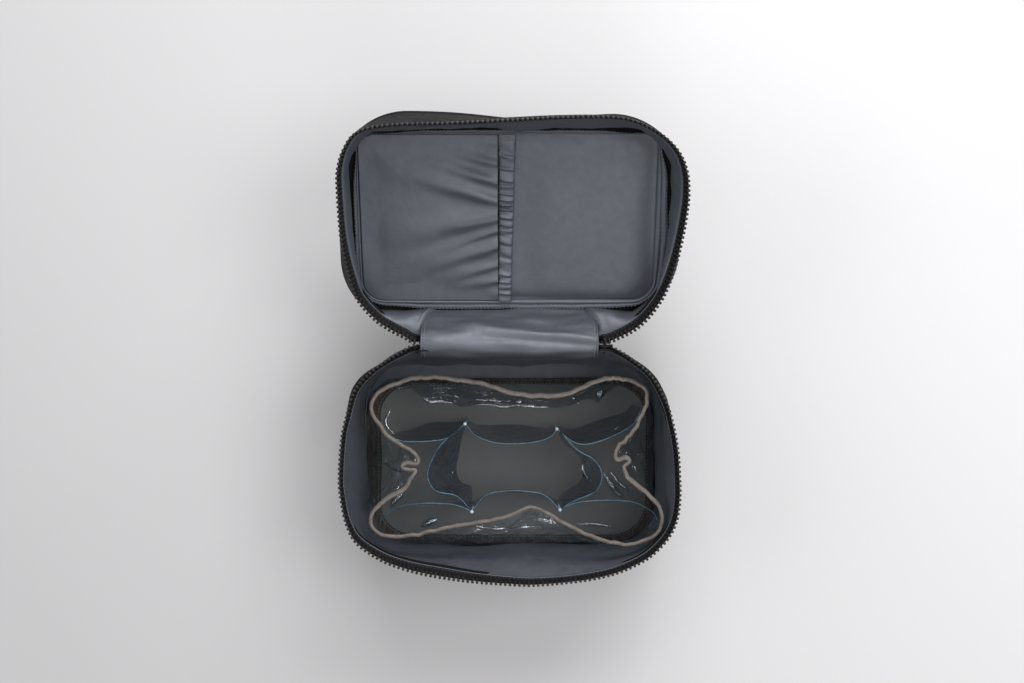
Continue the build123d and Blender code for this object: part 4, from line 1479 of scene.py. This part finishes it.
def settle_cloth(piece, cut, held, frames):
    """Let cloth that is cut larger than the space it is sewn into find its folds, and keep them."""
    scene = bpy.context.scene
    sewn = piece.vertex_groups.new(name="sewn")
    for index in held:
        sewn.add([int(index)], 1.0, "REPLACE")
    piece.shape_key_add(name="Basis")
    flat = piece.shape_key_add(name="cut")
    flat.data.foreach_set("co", cut.ravel())
    modifier = piece.modifiers.new("Cloth", "CLOTH")
    cloth = modifier.settings
    cloth.rest_shape_key = flat
    cloth.vertex_group_mass = sewn.name
    cloth.quality = 7
    cloth.mass = 0.12
    cloth.air_damping = 2.0
    cloth.tension_stiffness = 40
    cloth.compression_stiffness = 40
    cloth.shear_stiffness = 15
    cloth.bending_stiffness = 0.35
    cloth.effector_weights.gravity = 0
    modifier.collision_settings.use_collision = False
    modifier.point_cache.frame_start = 1
    modifier.point_cache.frame_end = frames
    for frame_number in range(1, frames + 1):
        scene.frame_set(frame_number)
    settled = piece.evaluated_get(bpy.context.evaluated_depsgraph_get()).data
    places = np.empty(3 * len(settled.vertices))
    settled.vertices.foreach_get("co", places)
    piece.modifiers.remove(modifier)
    piece.shape_key_clear()
    piece.vertex_groups.clear()
    piece.data.vertices.foreach_set("co", places)
    piece.data.update()
    scene.frame_set(1)


def make_pocket(lining):
    """Gathered cloth between the panel's left edge and the mouth."""
    columns, rows = 104, 130
    x = np.linspace(POCKET_LEFT, POCKET_MOUTH, columns)
    forward = np.linspace(POCKET_NEAR, POCKET_FAR, rows)
    grid_x, grid_f = np.meshgrid(x, forward)
    # The pocket's left side follows the panel's round corners.
    left = np.full(rows, POCKET_LEFT)
    corners = ((PANEL_NEAR_CORNER, forward - POCKET_NEAR), (PANEL_CORNER, POCKET_FAR - forward))
    for radius, inwards in corners:
        left += radius - np.sqrt(radius ** 2 - np.clip(radius - inwards, 0, radius) ** 2)
    left = left[:, None]
    grid_x = left + (grid_x - POCKET_LEFT) * (POCKET_MOUTH - left) / (POCKET_MOUTH - POCKET_LEFT)
    edge = np.minimum.reduce([grid_x - left, grid_f - POCKET_NEAR, POCKET_FAR - grid_f])
    to_mouth = ease(grid_x, POCKET_LEFT + 0.03, POCKET_MOUTH)
    inside = ease(edge, 0.0, 0.020)
    spots = np.column_stack([grid_x.ravel() * 0.55, grid_f.ravel() * 1.3, np.zeros(grid_x.size)])
    seeds = rough_points(spots, 0.016, 44).reshape(grid_x.shape)
    ridges = np.zeros_like(grid_x)
    from_mouth = (POCKET_MOUTH - grid_x) / MM
    for at_mouth, at_end, reach, wide, tall in POCKET_FOLDS:
        share = np.clip(from_mouth / reach, 0, 1)
        centre = at_mouth + (at_end - at_mouth) * share ** 1.1
        spread = wide * (0.55 + 0.9 * share)
        ridges += tall * (1 - share * share) ** 1.5 * np.exp(-(((grid_f / MM - centre) / spread) ** 2))
    puckers = np.sin((grid_f - POCKET_NEAR) / (POCKET_FAR - POCKET_NEAR) * 2 * math.pi * 9 + 2 * seeds)
    # How far the cloth stands off the panel, in millimetres
    stand = 2.4 * ease(edge, 0.0, 0.050)
    stand = stand + inside * (0.5 + 1.25 * ridges + 0.9 * seeds * (0.4 + to_mouth))
    stand = stand + 0.6 * puckers * ease(grid_x, -0.018, -0.0084)
    stand += 1.0 * ease(grid_x, -0.030, POCKET_MOUTH)
    depth = PANEL_TOP - 0.0004 - np.maximum(stand, 0.0) * MM
    start = opened(np.stack([grid_x, grid_f, depth], axis=-1)).reshape(-1, 3)
    pocket = new_piece("lid_pocket", start, sheet_faces(rows, columns), [lining])
    # The cut flares towards the mouth, where the elastic gathers it.
    middle = (POCKET_NEAR + POCKET_FAR) / 2
    flare = 1.08 + 0.24 * ease(grid_x, POCKET_LEFT + 0.01, POCKET_MOUTH)
    cut_x = POCKET_LEFT + (grid_x - POCKET_LEFT) * 1.03
    cut = np.stack([cut_x, middle + (grid_f - middle) * flare, np.zeros_like(grid_x)], axis=-1)
    grid = np.arange(rows * columns).reshape(rows, columns)
    held = np.unique(np.concatenate([grid[:, 0], grid[:, -1], grid[0], grid[-1]]))
    settle_cloth(pocket, cut.reshape(-1, 3), held, 26)
    places = np.array([vertex.co for vertex in pocket.data.vertices])
    local = closed(places)
    # Folds can't sink into the panel, and they end flat at the seams.
    height = PANEL_TOP - local[:, 2]
    height = np.where(height < 0.0012, 0.0004 + 0.0008 * np.exp((height - 0.0012) / 0.0012), height)
    local[:, 2] = PANEL_TOP - np.minimum(height, 0.0085)
    pocket.data.vertices.foreach_set("co", opened(local).ravel())
    pocket.data.update()
    smooth = pocket.modifiers.new("Smooth", "SMOOTH")
    smooth.iterations = 2
    finer = pocket.modifiers.new("Finer", "SUBSURF")
    finer.levels = finer.render_levels = 1
    belongs(pocket, "lid", "lining", "lid_gathered_pocket")


def make_casing(lining):
    """Casing at the pocket's mouth: a flat tunnel, sewn shut underneath and ruched by its elastic."""
    steps, around = 460, 25
    forward = np.linspace(POCKET_NEAR - 0.0004, POCKET_FAR + 0.0006, steps)
    way = (forward - POCKET_NEAR) / (POCKET_FAR - POCKET_NEAR)
    left = POCKET_MOUTH + 0.0006 * way
    right = 0.0008 + 0.0032 * way
    zeros = np.zeros(steps)
    wander = rough_points(np.column_stack([forward, zeros, zeros]), 0.007, 43)
    phase = np.cumsum(1 + 1.3 * wander)
    phase = phase / phase[-1] * 2 * math.pi * CASING_FOLDS
    tall = 0.55 + 0.45 * np.abs(rough_points(np.column_stack([forward, zeros, zeros]), 0.010, 45)) * 2
    end = ease(forward, POCKET_NEAR, POCKET_NEAR + 0.005)
    end = end * ease(-forward, -POCKET_FAR, -POCKET_FAR + 0.005)
    rings = []
    for number in range(around):
        turn = math.radians(-75 + 330 * number / (around - 1))
        across, top = math.cos(turn), math.sin(turn)
        bend = abs(across) ** 0.6 * math.copysign(1, across)
        slant = rough_points(np.column_stack([forward, zeros, zeros]), 0.008, 46) * 1.6 * bend
        ruche = np.sin(phase + 0.7 * bend + slant) + 0.35 * np.sin(1.7 * phase + 2 * bend)
        side = (left + right) / 2 + (right - left) / 2 * bend * (1 + 0.05 * ruche * end)
        swell = 0.0014 + end * (0.00105 * ruche * tall * (1 - 0.35 * bend ** 2) + 0.0004)
        rings.append(opened(np.column_stack([side, forward, PANEL_TOP - 0.0016 - swell * top])))
    casing = run_piece("lid_pocket_ruched_casing", rings, [lining])
    belongs(casing, "lid", "lining", "lid_pocket_casing", "lid_pocket_elastic")

    rows = []
    normal = square_to_lid(-1)
    wave = np.sin(phase - 0.7)
    for place, lift in ((left + 0.0012, 0.0030), (right - 0.0012, 0.0028)):
        line = opened(np.column_stack([place, forward, PANEL_TOP - lift - 0.0005 * wave * end]))
        rows.append(stitches(line, np.tile(normal, (steps, 1)), length=0.0016, thick=0.00022))
    # Bar tacks at both ends of the casing
    for place, middle_x in ((POCKET_NEAR + 0.0016, -0.0038), (POCKET_FAR - 0.0020, -0.0022)):
        for shift in (-0.0008, -0.0004, 0.0, 0.0004, 0.0008):
            line = opened(np.array([(middle_x - 0.0030, place + shift, PANEL_TOP - 0.0031),
                                    (middle_x + 0.0030, place + shift, PANEL_TOP - 0.0031)]))
            up = np.tile(normal, (2, 1))
            rows.append(stitches(line, up, pitch=0.0012, length=0.0013, thick=0.0002))
    thread = stitch_piece("lid_pocket_stitches", rows, FINISHES["lining_thread"])
    belongs(thread, "lid", "lining")


class VANITYCASE_OT_pocket(Operator):
    """Gathered pocket over the left half of the lid's panel, and its ruched casing."""

    bl_idname = "vanity_case.pocket"
    bl_label = "Gathered pocket"

    def execute(self, context):
        make_pocket(FINISHES["lining"])
        make_casing(FINISHES["lining"])
        return {"FINISHED"}


# Bound seam of the base


class VANITYCASE_OT_base_seam(Operator):
    """Bound seam inside the base, where its walls meet the floor."""

    bl_idname = "vanity_case.base_seam"
    bl_label = "Base bound seam"

    def execute(self, context):
        shape = base_lines()
        away = shape["away"]
        rings = []
        for inset, height in ((0.0008, 0.0045), (0.0010, 0.0075), (0.0009, 0.0105), (0.0013, 0.0112),
                              (0.0021, 0.0112), (0.0024, 0.0105), (0.0022, 0.0075), (0.0024, 0.0045)):
            flat = shape["floor"] - away * inset
            ring = raised(flat, height)
            ring[:, :2] -= away * (rough_points(ring, 0.015, 51) * 0.0003)[:, None]
            rings.append(ring)
        seam = ring_piece("base_bound_seam", rings, [FINISHES["bound_edge"]], closed_section=True)
        belongs(seam, "base", "lining", "base_seam_binding")
        return {"FINISHED"}


# Carry handle

# X and height above the lid's top, along the middle of the webbing, in millimetres
HANDLE_PATH = (
    (-75, 0.9), (-63, 0.9), (-50, 1.0), (-42, 5.5), (-34, 12.5), (-20, 15.4), (0, 15.9),
    (20, 15.4), (34, 12.5), (42, 5.5), (50, 1.0), (63, 0.9), (75, 0.9),
)
# Section of the webbing, as shares of its half width and half thickness
HANDLE_SECTION = (
    (-1.0, 0.0), (-0.98, 0.7), (-0.90, 1.0), (-0.45, 0.92), (0.0, 1.0), (0.45, 0.92), (0.90, 1.0),
    (0.98, 0.7), (1.0, 0.0), (0.98, -0.7), (0.90, -1.0), (0.45, -0.92), (0.0, -1.0), (-0.45, -0.92),
    (-0.90, -1.0), (-0.98, -0.7),
)


class VANITYCASE_OT_handle(Operator):
    """Webbing handle on the lid's outside, sewn down at both ends."""

    bl_idname = "vanity_case.handle"
    bl_label = "Carry handle"

    def execute(self, context):
        path = smooth_line(HANDLE_PATH, 120)
        above = above_line(path)
        middle, half_wide, thick = 0.080, 0.0125, 0.0008
        lid_top = LID_DEPTH + 0.0003
        narrow = 1 - 0.10 * ease(path[:, 1], 0.004, 0.014)
        rings = []
        for wide, tall in HANDLE_SECTION:
            spot = path + above * tall * thick
            rings.append(opened(np.column_stack([
                spot[:, 0], middle + half_wide * wide * narrow, lid_top + spot[:, 1]])))
        strap = run_piece("lid_handle", rings, [FINISHES["webbing"]], solid=True)
        belongs(strap, "lid", "webbing", "carry_handle")

        rows = []
        normal = square_to_lid(1)
        height = lid_top + 0.0009 + thick
        for side in (-1, 1):
            a, b = side * 0.0735, side * 0.0545
            near, far = middle - 0.0105, middle + 0.0105
            corners = ((a, near), (b, near), (b, far), (a, far), (a, near), (b, far))
            for first, second in list(zip(corners[:-1], corners[1:])) + [((b, near), (a, far))]:
                line = opened(np.array([(*first, height), (*second, height)]))
                up = np.tile(normal, (2, 1))
                rows.append(stitches(line, up, pitch=0.0025, length=0.0019, thick=0.0003))
        thread = stitch_piece("lid_handle_stitches", rows, FINISHES["outer_thread"])
        belongs(thread, "lid", "webbing")
        return {"FINISHED"}


# Clear organiser

ORGANISER_CENTRE = (0.0, -0.006)
ORGANISER_RIM_Z = 0.0885
FOOT_RADIUS = 0.0318  # round corners of the organiser's foot
# Section of the tape folded over the rim: sideways and upwards, in millimetres
RIM_TAPE_SECTION = (
    (-1.2, -7.0), (-1.35, -4.5), (-1.3, -1.6), (-1.05, -0.4), (-0.5, 0.1), (0.5, 0.1), (1.05, -0.4),
    (1.3, -1.6), (1.35, -4.5), (1.2, -7.0), (0.7, -7.0), (0.6, -2.0), (-0.6, -2.0), (-0.7, -7.0),
)


def organiser_lines():
    """Loops of the organiser's foot and rim, that match each other."""
    low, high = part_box("organiser_walls")
    foot = rounded_loop(low[:2], high[:2], FOOT_RADIUS)
    rim = smooth_loop(ORGANISER_RIM_LINE, 3 * AROUND)
    angles = angles_of(rim, ORGANISER_CENTRE)
    foot = at_angles(foot, angles, ORGANISER_CENTRE)
    return foot, rim, outwards(rim)


def crumple(points, seed):
    """Creased relief from -1 to 1, as in a stiff clear sheet: flat facets that meet in sharp folds."""
    draw = np.random.default_rng(seed)
    warp = np.stack([rough_points(points, 0.028, seed + shift) for shift in (1, 2, 3)], axis=1) * 0.012
    total = np.zeros(len(points))
    for size, share in ((0.040, 0.46), (0.027, 0.33), (0.018, 0.21)):
        direction = draw.normal(size=3)
        direction /= np.linalg.norm(direction)
        phase = ((points + warp) @ direction) / size + draw.uniform()
        total += share * (4 * np.abs(phase - np.floor(phase + 0.5)) - 1)
    return total


# How far the back wall of the organiser stands in, from foot to rim: share of its height and
# millimetres
BACK_WALL_SLACK = ((0, 0), (0.17, 10), (0.35, 17), (0.66, 6), (0.92, 1), (1, 0))


def film_bellies(points, share):
    """Where the organiser's walls hang slack: outward is positive."""
    x, y = points[:, 0], points[:, 1]
    slack = np.array(BACK_WALL_SLACK, float)
    back = ease(y, 0.030, 0.042) * ease(-np.abs(x + 0.002), -0.092, -0.060)
    front = ease(-y, 0.026, 0.036) * bump_at(x, 0.010, 0.055)
    inwards = float(np.interp(share, slack[:, 0], slack[:, 1])) * MM * back
    return -inwards + 0.006 * front * math.sin(math.pi * share)


# How wide the foot's tape lies: degrees round and millimetres
FOOT_TAPE_WIDTHS = (
    (0, 5.5), (40, 4.5), (90, 4), (140, 4.5), (165, 10), (180, 11), (200, 10), (225, 5.5), (320, 5.5),
)
FOLDS_SEEN_AT = 0.060  # height at which the places of the folds below are given
# Sharp folds of the clear walls, where they catch the light: half width in millimetres, and
# the points above which each fold lies
FILM_FOLDS = (
    (1.5, (-24.9, 40.6), (-10, 39.4), (9, 38.8), (25.5, 40.0)),
    (1.9, (-23.5, 29.4), (-8, 28.0), (12, 27.6), (27.7, 30.2)),
    (2.6, (-65.9, 41.5), (-63.4, 33.8), (-57, 30.8), (-45.4, 31.6)),
    (1.8, (-60, 38.5), (-55, 36.8), (-48.5, 37.6)),
    (3.2, (64.2, 41.6), (66.5, 44.4), (68.6, 46.8)),
    (1.5, (45.3, 43), (48.4, 39.8), (51.1, 35.7)),
    (3.2, (101.5, -50), (103.7, -52), (104.6, -54.5)),
    (2.4, (18.4, -47.2), (24.5, -48.4), (33.6, -50.2)),
    (1.2, (-24.9, -52.6), (-8, -54), (8, -53.4), (23.3, -52.6)),
)
# The same for folds low down, just over the floor
LOW_FILM_FOLDS = (
    (2.0, (56.1, -9.2), (56.8, -17.7), (61.5, -25.4)),
    (3.0, (72.2, -19.2), (78.4, -28.5), (87.6, -37.7)),
    (1.6, (76, -16.5), (82.6, -24.6), (92.0, -33.5)),
    (1.4, (50.7, -57.7), (65.3, -57.7), (78.4, -60)),
    (3.0, (-92.5, -44.6), (-87.9, -38.5), (-81.8, -33.1)),
    (3.0, (-68.7, -60), (-61.7, -56.2), (-55.6, -53.9)),
    (1.4, (-92, 31), (-96, 20), (-90, 12)),
)


def film_fold_piece(wall):
    """Folds that lie on the clear wall, from the wall's own points."""
    wall = wall.reshape(-1, 3)
    camera = np.array(CAMERA_PLACE)
    sight = (wall[:, :2] - camera[:2]) / (camera[2] - wall[:, 2])[:, None]
    points, faces = [], []
    rows, steps = 9, 26
    for half, *given in FILM_FOLDS + LOW_FILM_FOLDS:
        line = smooth_line(given, steps)
        spots = []
        for place in line:
            seen = (place - camera[:2]) / (camera[2] - FOLDS_SEEN_AT)
            spots.append(wall[np.argmin(np.linalg.norm(sight - seen, axis=1) - 0.004 * wall[:, 2])])
        spots = np.array(spots)
        if (half, *given) in LOW_FILM_FOLDS:
            spots = raised(line, 0.0072)
        for _ in range(3):
            spots[1:-1] = (spots[:-2] + 2 * spots[1:-1] + spots[2:]) / 4
        spots += rough_points(spots, 0.006, 71)[:, None] * 0.0005
        along = np.gradient(spots, axis=0)
        along /= np.maximum(np.linalg.norm(along, axis=1)[:, None], 1e-9)
        side = np.cross(along, (0.0, 0.0, 1.0))
        side /= np.maximum(np.linalg.norm(side, axis=1)[:, None], 1e-9)
        top = np.cross(side, along)
        narrow = np.sin(np.linspace(0.04, math.pi - 0.04, steps))[:, None] ** 0.6 * half * MM
        start = len(points)
        for turn in np.radians(np.linspace(-62, 62, rows)):
            points += list(spots + side * narrow * math.sin(turn) + top * narrow * (math.cos(turn) - 0.35))
        faces += sheet_faces(rows, steps, start=start)
    return new_piece("organiser_film_folds", points, faces, [FINISHES["film_fold"]])


def make_film_walls(foot, rim, away):
    """Clear walls that hang from the rim, and their bright folds."""
    low_z, top_z = 0.0060, ORGANISER_RIM_Z - 0.0006
    rings = []
    for share in np.linspace(0, 1, 72):
        loop = mixed(foot, rim, share ** 1.35)
        ring = raised(loop, low_z + (top_z - low_z) * share)
        held = min(1, 7 * share, 9 * (1 - share))
        soft = crumple(ring * np.array([1, 1, 1.25]), 61) * 0.0042 * held
        soft += film_bellies(ring, share)
        ring[:, :2] += away * soft[:, None]
        rings.append(ring)
    wall = ring_piece("organiser_clear_walls", rings, [FINISHES["clear_sheet"]])
    belongs(wall, "organiser", "clear_sheet", "organiser_walls")
    folds = film_fold_piece(np.array(rings))
    belongs(folds, "organiser", "clear_sheet")


def make_organiser_floor(foot):
    """Clear floor inside the foot's tape."""
    middle = np.array([0.0, (foot[:, 1].min() + foot[:, 1].max()) / 2])
    rings = []
    for share in (1, 0.97, 0.9, 0.8, 0.7, 0.6, 0.5, 0.4, 0.3, 0.2, 0.1):
        ring = raised(middle + (foot - middle) * share, 0.0054)
        ring[:, 2] += 0.0006 + rough_points(ring, 0.03, 63) * 0.0005 * ease(1 - share, 0, 0.15)
        rings.append(ring)
    floor = filled_rings("organiser_clear_floor", rings, [FINISHES["organiser_floor"]])
    belongs(floor, "organiser", "clear_sheet", "organiser_floor")


def make_foot_tape(foot):
    """Tape round the foot, that turns in over the floor."""
    out = outwards(foot)
    rings = []
    wide = by_angle(FOOT_TAPE_WIDTHS, angles_of(foot, ORGANISER_CENTRE))
    for inset, height in ((-0.04, 0.0050), (-0.08, 0.0080), (-0.06, 0.0100), (0.04, 0.0104),
                          (0.12, 0.0098), (0.20, 0.0084), (0.40, 0.0076), (0.62, 0.0078),
                          (0.92, 0.0070), (1.0, 0.0065), (0.92, 0.0061), (0.26, 0.0063)):
        ring = raised(foot - out * (inset * wide)[:, None], height)
        ring[:, 2] += rough_points(ring, 0.012, 64) * 0.0004 * (inset > 0.2)
        rings.append(ring)
    # The foot's tape takes the rim's taupe painted darker: painted shade.
    tape = ring_piece("organiser_foot_tape", rings, [FINISHES["shaded_foot_tape"]], closed_section=True)
    belongs(tape, "organiser", "edge_tape", "organiser_base_binding")
    up = np.tile([0.0, 0.0, 1.0], (len(foot), 1))
    line = raised(foot - out * (wide * 0.8)[:, None], 0.0076)
    rows = [stitches(line, up, closed=True, length=0.0018, thick=0.00022)]
    thread = stitch_piece("organiser_foot_stitches", rows, FINISHES["taupe_thread"])
    belongs(thread, "organiser", "edge_tape")


def make_rim_tape(rim, away):
    """Tape folded over the rim."""
    along = rough_points(raised(rim, 0), 0.0075, 65) * 0.00075
    pinch = bump_at(rim[:, 0], -0.067, 0.012) + bump_at(rim[:, 0], 0.077, 0.012)
    along += rough_points(raised(rim, 0), 0.0035, 66) * 0.0009 * pinch
    tilt = 0.0009 + rough_points(raised(rim, 0), 0.02, 67) * 0.0005
    line = rim + away * along[:, None]
    rings = []
    for wide, height in RIM_TAPE_SECTION:
        flat = line + away * ((wide * MM) + tilt * (-height / 7))[:, None]
        flat = flat + away * (rough_points(raised(rim, height * MM), 0.0028, 69) * 0.0003)[:, None]
        ring = raised(flat, ORGANISER_RIM_Z + height * MM)
        ring[:, 2] += rough_points(raised(rim, 0), 0.025, 68) * 0.0012
        rings.append(ring)
    binding = ring_piece("organiser_rim_tape", rings, [FINISHES["edge_tape"]], closed_section=True)
    belongs(binding, "organiser", "edge_tape", "organiser_rim_binding")


class VANITYCASE_OT_organiser(Operator):
    """Clear organiser: floor, hanging walls and the tape on its edges."""

    bl_idname = "vanity_case.organiser"
    bl_label = "Clear organiser"

    def execute(self, context):
        foot, rim, away = organiser_lines()
        make_film_walls(foot, rim, away)
        make_organiser_floor(foot)
        make_foot_tape(foot)
        make_rim_tape(rim, away)
        return {"FINISHED"}


WELD_SIDES = 10
# Sections of a weld between two dividers: height and radius, in metres
WELD_SECTIONS = (
    (0.0080, 0.0007), (0.0350, 0.0008), (0.0600, 0.0009), (0.0646, 0.0013), (0.0653, 0.0012),
    (0.0657, 0.0006),
)


class VANITYCASE_OT_dividers(Operator):
    """Clear strips inside the organiser, welded to each other."""

    bl_idname = "vanity_case.dividers"
    bl_label = "Dividers"

    def execute(self, context):
        low_z, top_z = 0.0072, 0.0646
        columns = 60
        for name, lines in DIVIDER_LINES.items():
            points, faces, choice = [], [], []
            for number, given in enumerate(lines):
                line = smooth_line(given, columns)
                arch = np.sin(np.linspace(0, math.pi, columns))[:, None]
                sunk = line * 0.97 + arch * np.array(DIVIDER_FEET[name]) * MM
                start = len(points)
                for share in np.linspace(0, 1, 8):
                    loop = mixed(sunk, line, share)
                    points += list(raised(loop, low_z + (top_z - low_z) * share))
                strip = sheet_faces(8, columns, start=start)
                faces += strip
                choice += [0] * len(strip)
                edge = raised(line, top_z)
                start = len(points)
                rows = tube_rings(edge, 0.00058, False, 6)
                points += [p for row in rows for p in row]
                strip = bar_faces(len(rows), columns, start)
                faces += strip
                choice += [1] * len(strip)
            # The dividers take the darker copy of the clear sheet, painted shade.
            piece = new_piece(
                name.replace("divider", "clear_divider"), points, faces,
                [FINISHES["shaded_divider_sheet"], FINISHES["sheet_edge"]], choice=choice,
            )
            belongs(piece, "organiser", "clear_sheet", name)
        points, faces = [], []
        for x, y in DIVIDER_WELDS:
            start = len(points)
            middle = np.array([x, y]) * MM
            for height, wide in WELD_SECTIONS:
                for turn in range(WELD_SIDES):
                    angle = 2 * math.pi * turn / WELD_SIDES
                    spot = middle + wide * np.array([math.cos(angle), math.sin(angle)])
                    points.append((*spot, height))
            faces += post_faces(len(WELD_SECTIONS), WELD_SIDES, start)
        # The welds' pale finish is partly a painted highlight.
        welds = new_piece("divider_welds", points, faces, [FINISHES["weld"]])
        belongs(welds, "organiser", "clear_sheet")
        return {"FINISHED"}


class VANITYCASE_OT_boards(Operator):
    """Stiffening board in the bottom."""

    bl_idname = "vanity_case.boards"
    bl_label = "Stiffening board"

    def execute(self, context):
        shape = base_lines()
        low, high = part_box("base_bottom_board")
        edge = shape["bottom"] - shape["away"] * 0.0046
        rings = [raised(edge * share, high[2] - 0.0002) for share in (0.1, 0.5, 0.9)]
        rings += [raised(edge, high[2] - 0.0002), raised(edge, low[2] + 0.0002)]
        rings += [raised(edge * share, low[2] + 0.0002) for share in (0.9, 0.5, 0.1)]
        board = plate_piece("base_stiffener", rings, [FINISHES["board"]])
        belongs(board, "base", "board", "base_bottom_board")
        return {"FINISHED"}


# Stage

PICTURE_WIDTH = 1024
FOCAL_PIXELS = 1354.0  # focal length in pixels, for a picture of that width
LAMP_TARGET = (0.0, 0.08, 0.05)
LAMP_DISTANCE = 1.9
# Direction round and height in degrees, and power, of the soft lamps
LAMPS = (
    ("back_right_softbox", 62, 33, 16.5), ("back_softbox", 92, 44, 13.5),
    ("left_softbox", 180, 34, 7.0), ("right_softbox", 6, 58, 11.0),
    ("front_softbox", 282, 40, 5.5), ("overhead_softbox", 240, 74, 2.5),
)


class VANITYCASE_OT_stage(Operator):
    """Floor, studio lamps and camera."""

    bl_idname = "vanity_case.stage"
    bl_label = "Stage"

    def execute(self, context):
        scene = context.scene
        scene.view_settings.view_transform = "Standard"

        paint = Finish("stage_floor", colours().floor, 0.9)
        # The floor's colour grows lighter towards the back right and darker towards the front left, from 0.9
        # to 1.24 times its own: painted light, the lamps' fall-off over the floor.
        split = paint.nodes.new("ShaderNodeSeparateXYZ")
        paint.links.new(paint.place, split.inputs["Vector"])
        slant = paint.math("ADD", split.outputs["X"], paint.math("MULTIPLY", split.outputs["Y"], 0.45))
        slant = paint.math("ADD", slant, paint.math("MULTIPLY", paint.cloud(0.6, 2), 0.05))
        paint.tint(paint.ranged(slant, -0.40, 0.45, 0, 1), 0.0, 1.0, 0.90, 1.24)
        paint.bump(paint.cloud(0.004, 2), 0.00005, 0.3)
        steps = np.linspace(-3, 3, 13)
        points = [(x, y, 0.0) for y in steps for x in steps]
        floor = new_piece("stage_floor", points, sheet_faces(13, 13), [paint.material], smooth=False)

        lens = bpy.data.cameras.new("case_camera")
        lens.sensor_width = 36
        lens.lens = FOCAL_PIXELS / PICTURE_WIDTH * lens.sensor_width
        camera = bpy.data.objects.new("case_camera", lens)
        camera.location = CAMERA_PLACE
        scene.collection.objects.link(camera)
        scene.camera = camera

        world = bpy.data.worlds.new("studio")
        world.use_nodes = True
        back = world.node_tree.nodes["Background"]
        back.inputs["Color"].default_value = (0.96, 0.97, 1.0, 1)
        back.inputs["Strength"].default_value = 0.20
        scene.world = world

        for name, around, up, power in LAMPS:
            turn, lift = math.radians(around), math.radians(up)
            aim = Vector((math.cos(turn) * math.cos(lift), math.sin(turn) * math.cos(lift), math.sin(lift)))
            place = Vector(LAMP_TARGET) + LAMP_DISTANCE * aim
            lamp = bpy.data.lights.new(name, "AREA")
            lamp.shape = "SQUARE"
            lamp.size = 1.0
            lamp.energy = power
            holder = bpy.data.objects.new(name, lamp)
            holder.location = place
            holder.rotation_euler = (-aim).to_track_quat("-Z", "Y").to_euler()
            scene.collection.objects.link(holder)
        return {"FINISHED"}


class VANITYCASE_PT_case(Panel):
    """Sidebar panel with every step that makes the case."""

    bl_label = "Vanity case"
    bl_idname = "VANITYCASE_PT_case"
    bl_space_type = "VIEW_3D"
    bl_region_type = "UI"
    bl_category = "Vanity case"

    def draw(self, context):
        for group in (sizes(), colours()):
            box = self.layout.box()
            for name in group.bl_rna.properties.keys():
                if name not in ("rna_type", "name"):
                    box.prop(group, name)
        for step in STEPS:
            self.layout.operator(step.bl_idname)


STEPS = (
    VANITYCASE_OT_outer_cloth,
    VANITYCASE_OT_boards,
    VANITYCASE_OT_linings,
    VANITYCASE_OT_base_seam,
    VANITYCASE_OT_lid_panel,
    VANITYCASE_OT_pocket,
    VANITYCASE_OT_zip,
    VANITYCASE_OT_sliders,
    VANITYCASE_OT_hinge,
    VANITYCASE_OT_handle,
    VANITYCASE_OT_organiser,
    VANITYCASE_OT_dividers,
    VANITYCASE_OT_stage,
)
CLASSES = (CaseSizes, CaseColours, *STEPS, VANITYCASE_PT_case)


def register():
    """Register the classes and hang the sizes and colours on the scene."""
    for item in CLASSES:
        bpy.utils.register_class(item)
    bpy.types.Scene.vanity_case_sizes = PointerProperty(type=CaseSizes)
    bpy.types.Scene.vanity_case_colours = PointerProperty(type=CaseColours)


def unregister():
    """Take the classes and settings away again."""
    del bpy.types.Scene.vanity_case_colours
    del bpy.types.Scene.vanity_case_sizes
    for item in reversed(CLASSES):
        bpy.utils.unregister_class(item)


def main():
    """Make the whole case."""
    register()
    make_finishes()
    for step in STEPS:
        group, action = step.bl_idname.split(".")
        getattr(getattr(bpy.ops, group), action)()


if __name__ == "__main__":
    main()
